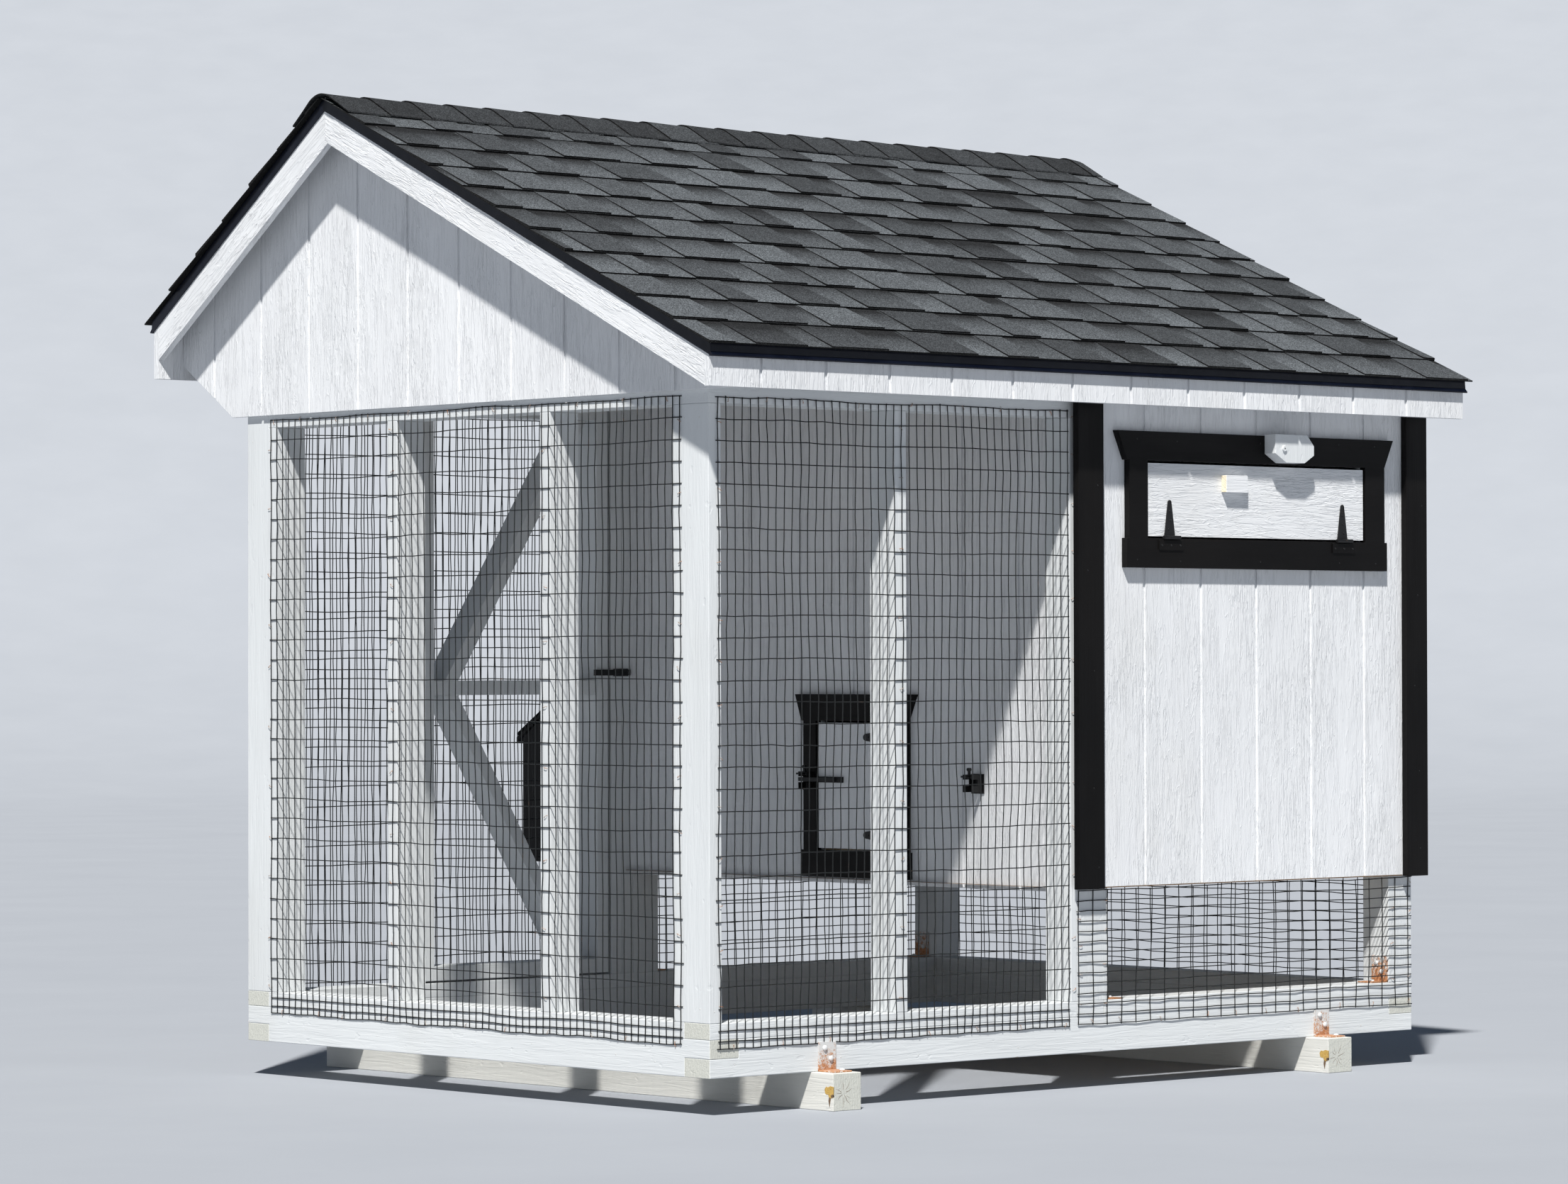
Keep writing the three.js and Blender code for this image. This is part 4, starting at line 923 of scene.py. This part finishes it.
# ---------------------------------------------------------------- back of the house
B = Build()      # black corner boards at the back corners and round the nest box
B.box(93.75, 97.25, 71.52, 72.27, 15.9, 62.8); B.box(96.52, 97.25, 68.75, 71.5, 15.9, 62.8)
B.obj("corner_trim_back", "black_z", "frame", "black_trim", bevel=0.045)
(nx0, ny0, nz0), (nx1, ny1, nz1) = box_in("nest_box")
B = Build()
T = 0.5
under = lambda y: 30.3 + (86.2 - y) * 0.677 - 0.06
for s, x in ((-1, nx0), (1, nx1)):
    a, b = sorted((x + s * 0.015, x + s * (T + 0.015)))
    B.prism("x", [(ny1 - 2.75, nz0 - 0.15), (ny1 + T, nz0 - 0.15), (ny1 + T, under(ny1 + T)), (ny1 - 2.75, under(ny1 - 2.75))], a, b)
    a, b = sorted((x + s * 0.012, x - s * 2.2))
    B.prism("x", [(ny1 + 0.015, nz0 - 0.15), (ny1 + T, nz0 - 0.15), (ny1 + T, under(ny1 + T)), (ny1 + 0.015, under(ny1 + T))], a, b)
B.obj("nest_corner_trim", "black_z", "frame", "black_trim", bevel=0.045)

(lx0, ly0, lz0), (lx1, ly1, lz1) = box_in("nest_lid")
PITCH = 0.677
LCs = 1 / math.hypot(1, PITCH); LSs = PITCH * LCs
lid_top = lambda y: 30.3 + 0.1 + (86.2 - y) * PITCH + 0.75 * math.hypot(1, PITCH)


def on_lid(x, d, n):
    return (x, ly1 - 0.42 - d * LCs + n * LSs, lid_top(ly1 - 0.42) + d * LSs + n * LCs - 0.0)


B = Build()
low = lambda y, t: lid_top(y) - t * math.hypot(1, PITCH)
B.prism("x", [(ly0 + 0.02, low(ly0, 0.74)), (ly1 - 0.3, low(ly1 - 0.3, 0.74)), (ly1 - 0.3, low(ly1 - 0.3, 0.3)), (ly0 + 0.02, low(ly0, 0.3))], lx0 + 0.1, lx1 - 0.1)
B.obj("nest_lid_board", "black_x", "nest_lid_body", "black_trim", ["nest_lid"], bevel=0.04)
B = Build()
Ld = (ly1 - 0.42 - ly0 - 0.15) / LCs
d, i = 0.0, 0
while d < Ld - 0.5:
    d1 = min(d + 5.9, Ld)
    x = lx0 - rnd.uniform(0, 5)
    tooth = i % 2 == 0
    while x < lx1:
        w = rnd.uniform(4.2, 9)
        a, b = max(x, lx0 + 0.03), min(x + w, lx1 - 0.03)
        if b - a > 0.5:
            tone = rnd.uniform(0.4, 0.85)
            tab(B, on_lid, a - 0.01, b + 0.01, a - 0.01, b + 0.01, d, d1, -0.31, -0.31, -0.14, -0.26, 0.6, 0.6)
            if tooth:
                tab(B, on_lid, a, b, a + 0.15, b - 0.15, d, d1, -0.2, -0.28, -0.02, -0.19, tone, 0.2, 0.04)
        x += w
        tooth = not tooth
    d += 5.6
    i += 1
B.obj("nest_lid_shingles", "shingle", "nest_lid_body", "shingle", ["nest_lid"])
B = Build()
for x in (56, 88):
    B.tube([(x - 1.5, 71.75, lid_top(71.9) + 0.12), (x + 1.5, 71.75, lid_top(71.9) + 0.12)], 0.16, 10)
    B.box(x - 1.4, x + 1.4, 71.53, 71.62, lid_top(71.9) + 0.2, lid_top(71.9) + 2.2)
    for dx in (-0.9, 0.9):
        B.disc_head((x + dx, 71.62, lid_top(71.9) + 1.4), (0, 1, 0), 0.14, 0.06)
B.obj("nest_lid_hinges", "iron", "frame", "black_iron", bevel=0.02)

# ---------------------------------------------------------------- stage, light, camera
rings = [(0.0, 0.0), (26.0, 0.0)] + [(26 + 24 * math.sin(a), 24 * (1 - math.cos(a))) for a in [math.radians(2.5 * q) for q in range(1, 11)]]
rings.append((rings[-1][0] + 34, rings[-1][1] + 34 * math.tan(math.radians(25))))
seg = 96
verts = [(rr * math.cos(2 * math.pi * q / seg), rr * math.sin(2 * math.pi * q / seg), CAD_BOX[0][2] + zz) for rr, zz in rings[1:] for q in range(seg)]
faces = [tuple(range(seg))] + [(a * seg + q, (a + 1) * seg + q, (a + 1) * seg + (q + 1) % seg, a * seg + (q + 1) % seg) for a in range(len(rings) - 2) for q in range(seg)]
me = bpy.data.meshes.new("floor")
me.from_pydata(verts, [], faces)
me.polygons.foreach_set("use_smooth", [True] * len(faces))
floor = bpy.data.objects.new("floor", me)
bpy.context.scene.collection.objects.link(floor)
k = Nodes("floor_pale")
me.materials.append(k.done(k.ramp(k.noise(1.4, (1, 1, 1), 4), (0.3, (0.332, 0.351, 0.384)), (0.7, (0.346, 0.365, 0.398))), k.ramp(k.noise(8), (0.3, 0.9), (0.7, 0.97)), Specular_IOR_Level=0.1))

w = bpy.data.worlds.new("studio")
bpy.context.scene.world = w
w.use_nodes = True
bg = w.node_tree.nodes["Background"]
bg.inputs[0].default_value = (0.34, 0.60, 1.0, 1)
bg.inputs[1].default_value = 0.11


def aim(o, d):
    o.rotation_mode = "QUATERNION"
    o.rotation_quaternion = Vector(d).to_track_quat("-Z", "Y")


key = bpy.data.objects.new("key", bpy.data.lights.new("key", "SUN"))
key.data.energy = 5.95
key.data.angle = math.radians(2.5)
key.data.color = (1.0, 0.98, 0.945)
aim(key, (0.437, 0.381, -0.813))
fill = bpy.data.objects.new("fill", bpy.data.lights.new("fill", "AREA"))
fill.data.energy = 5
fill.data.size = 5
fill.location = (-5.5, -6.5, 2.2)
aim(fill, (0.6, 0.75, -0.12))
for o in (key, fill):
    bpy.context.scene.collection.objects.link(o)

cam = bpy.data.objects.new("camera", bpy.data.cameras.new("camera"))
bpy.context.scene.collection.objects.link(cam)
cam.data.sensor_width = 36
cam.data.lens = 7527.56 / 2212 * 36
cam.data.clip_start, cam.data.clip_end = 0.1, 400
cam.location = P(-319.74, -367.27, 37.51)
turn = Vector((1.48009608, -0.567913754, 0.57250721))
rows = Matrix.Rotation(turn.length, 3, turn.normalized())
cam.rotation_mode = "QUATERNION"
cam.rotation_quaternion = Matrix((rows[0], -rows[1], -rows[2])).transposed().to_quaternion()
bpy.context.scene.camera = cam
bpy.context.scene.view_settings.view_transform = "Standard"
bpy.context.scene.view_settings.look = "None"
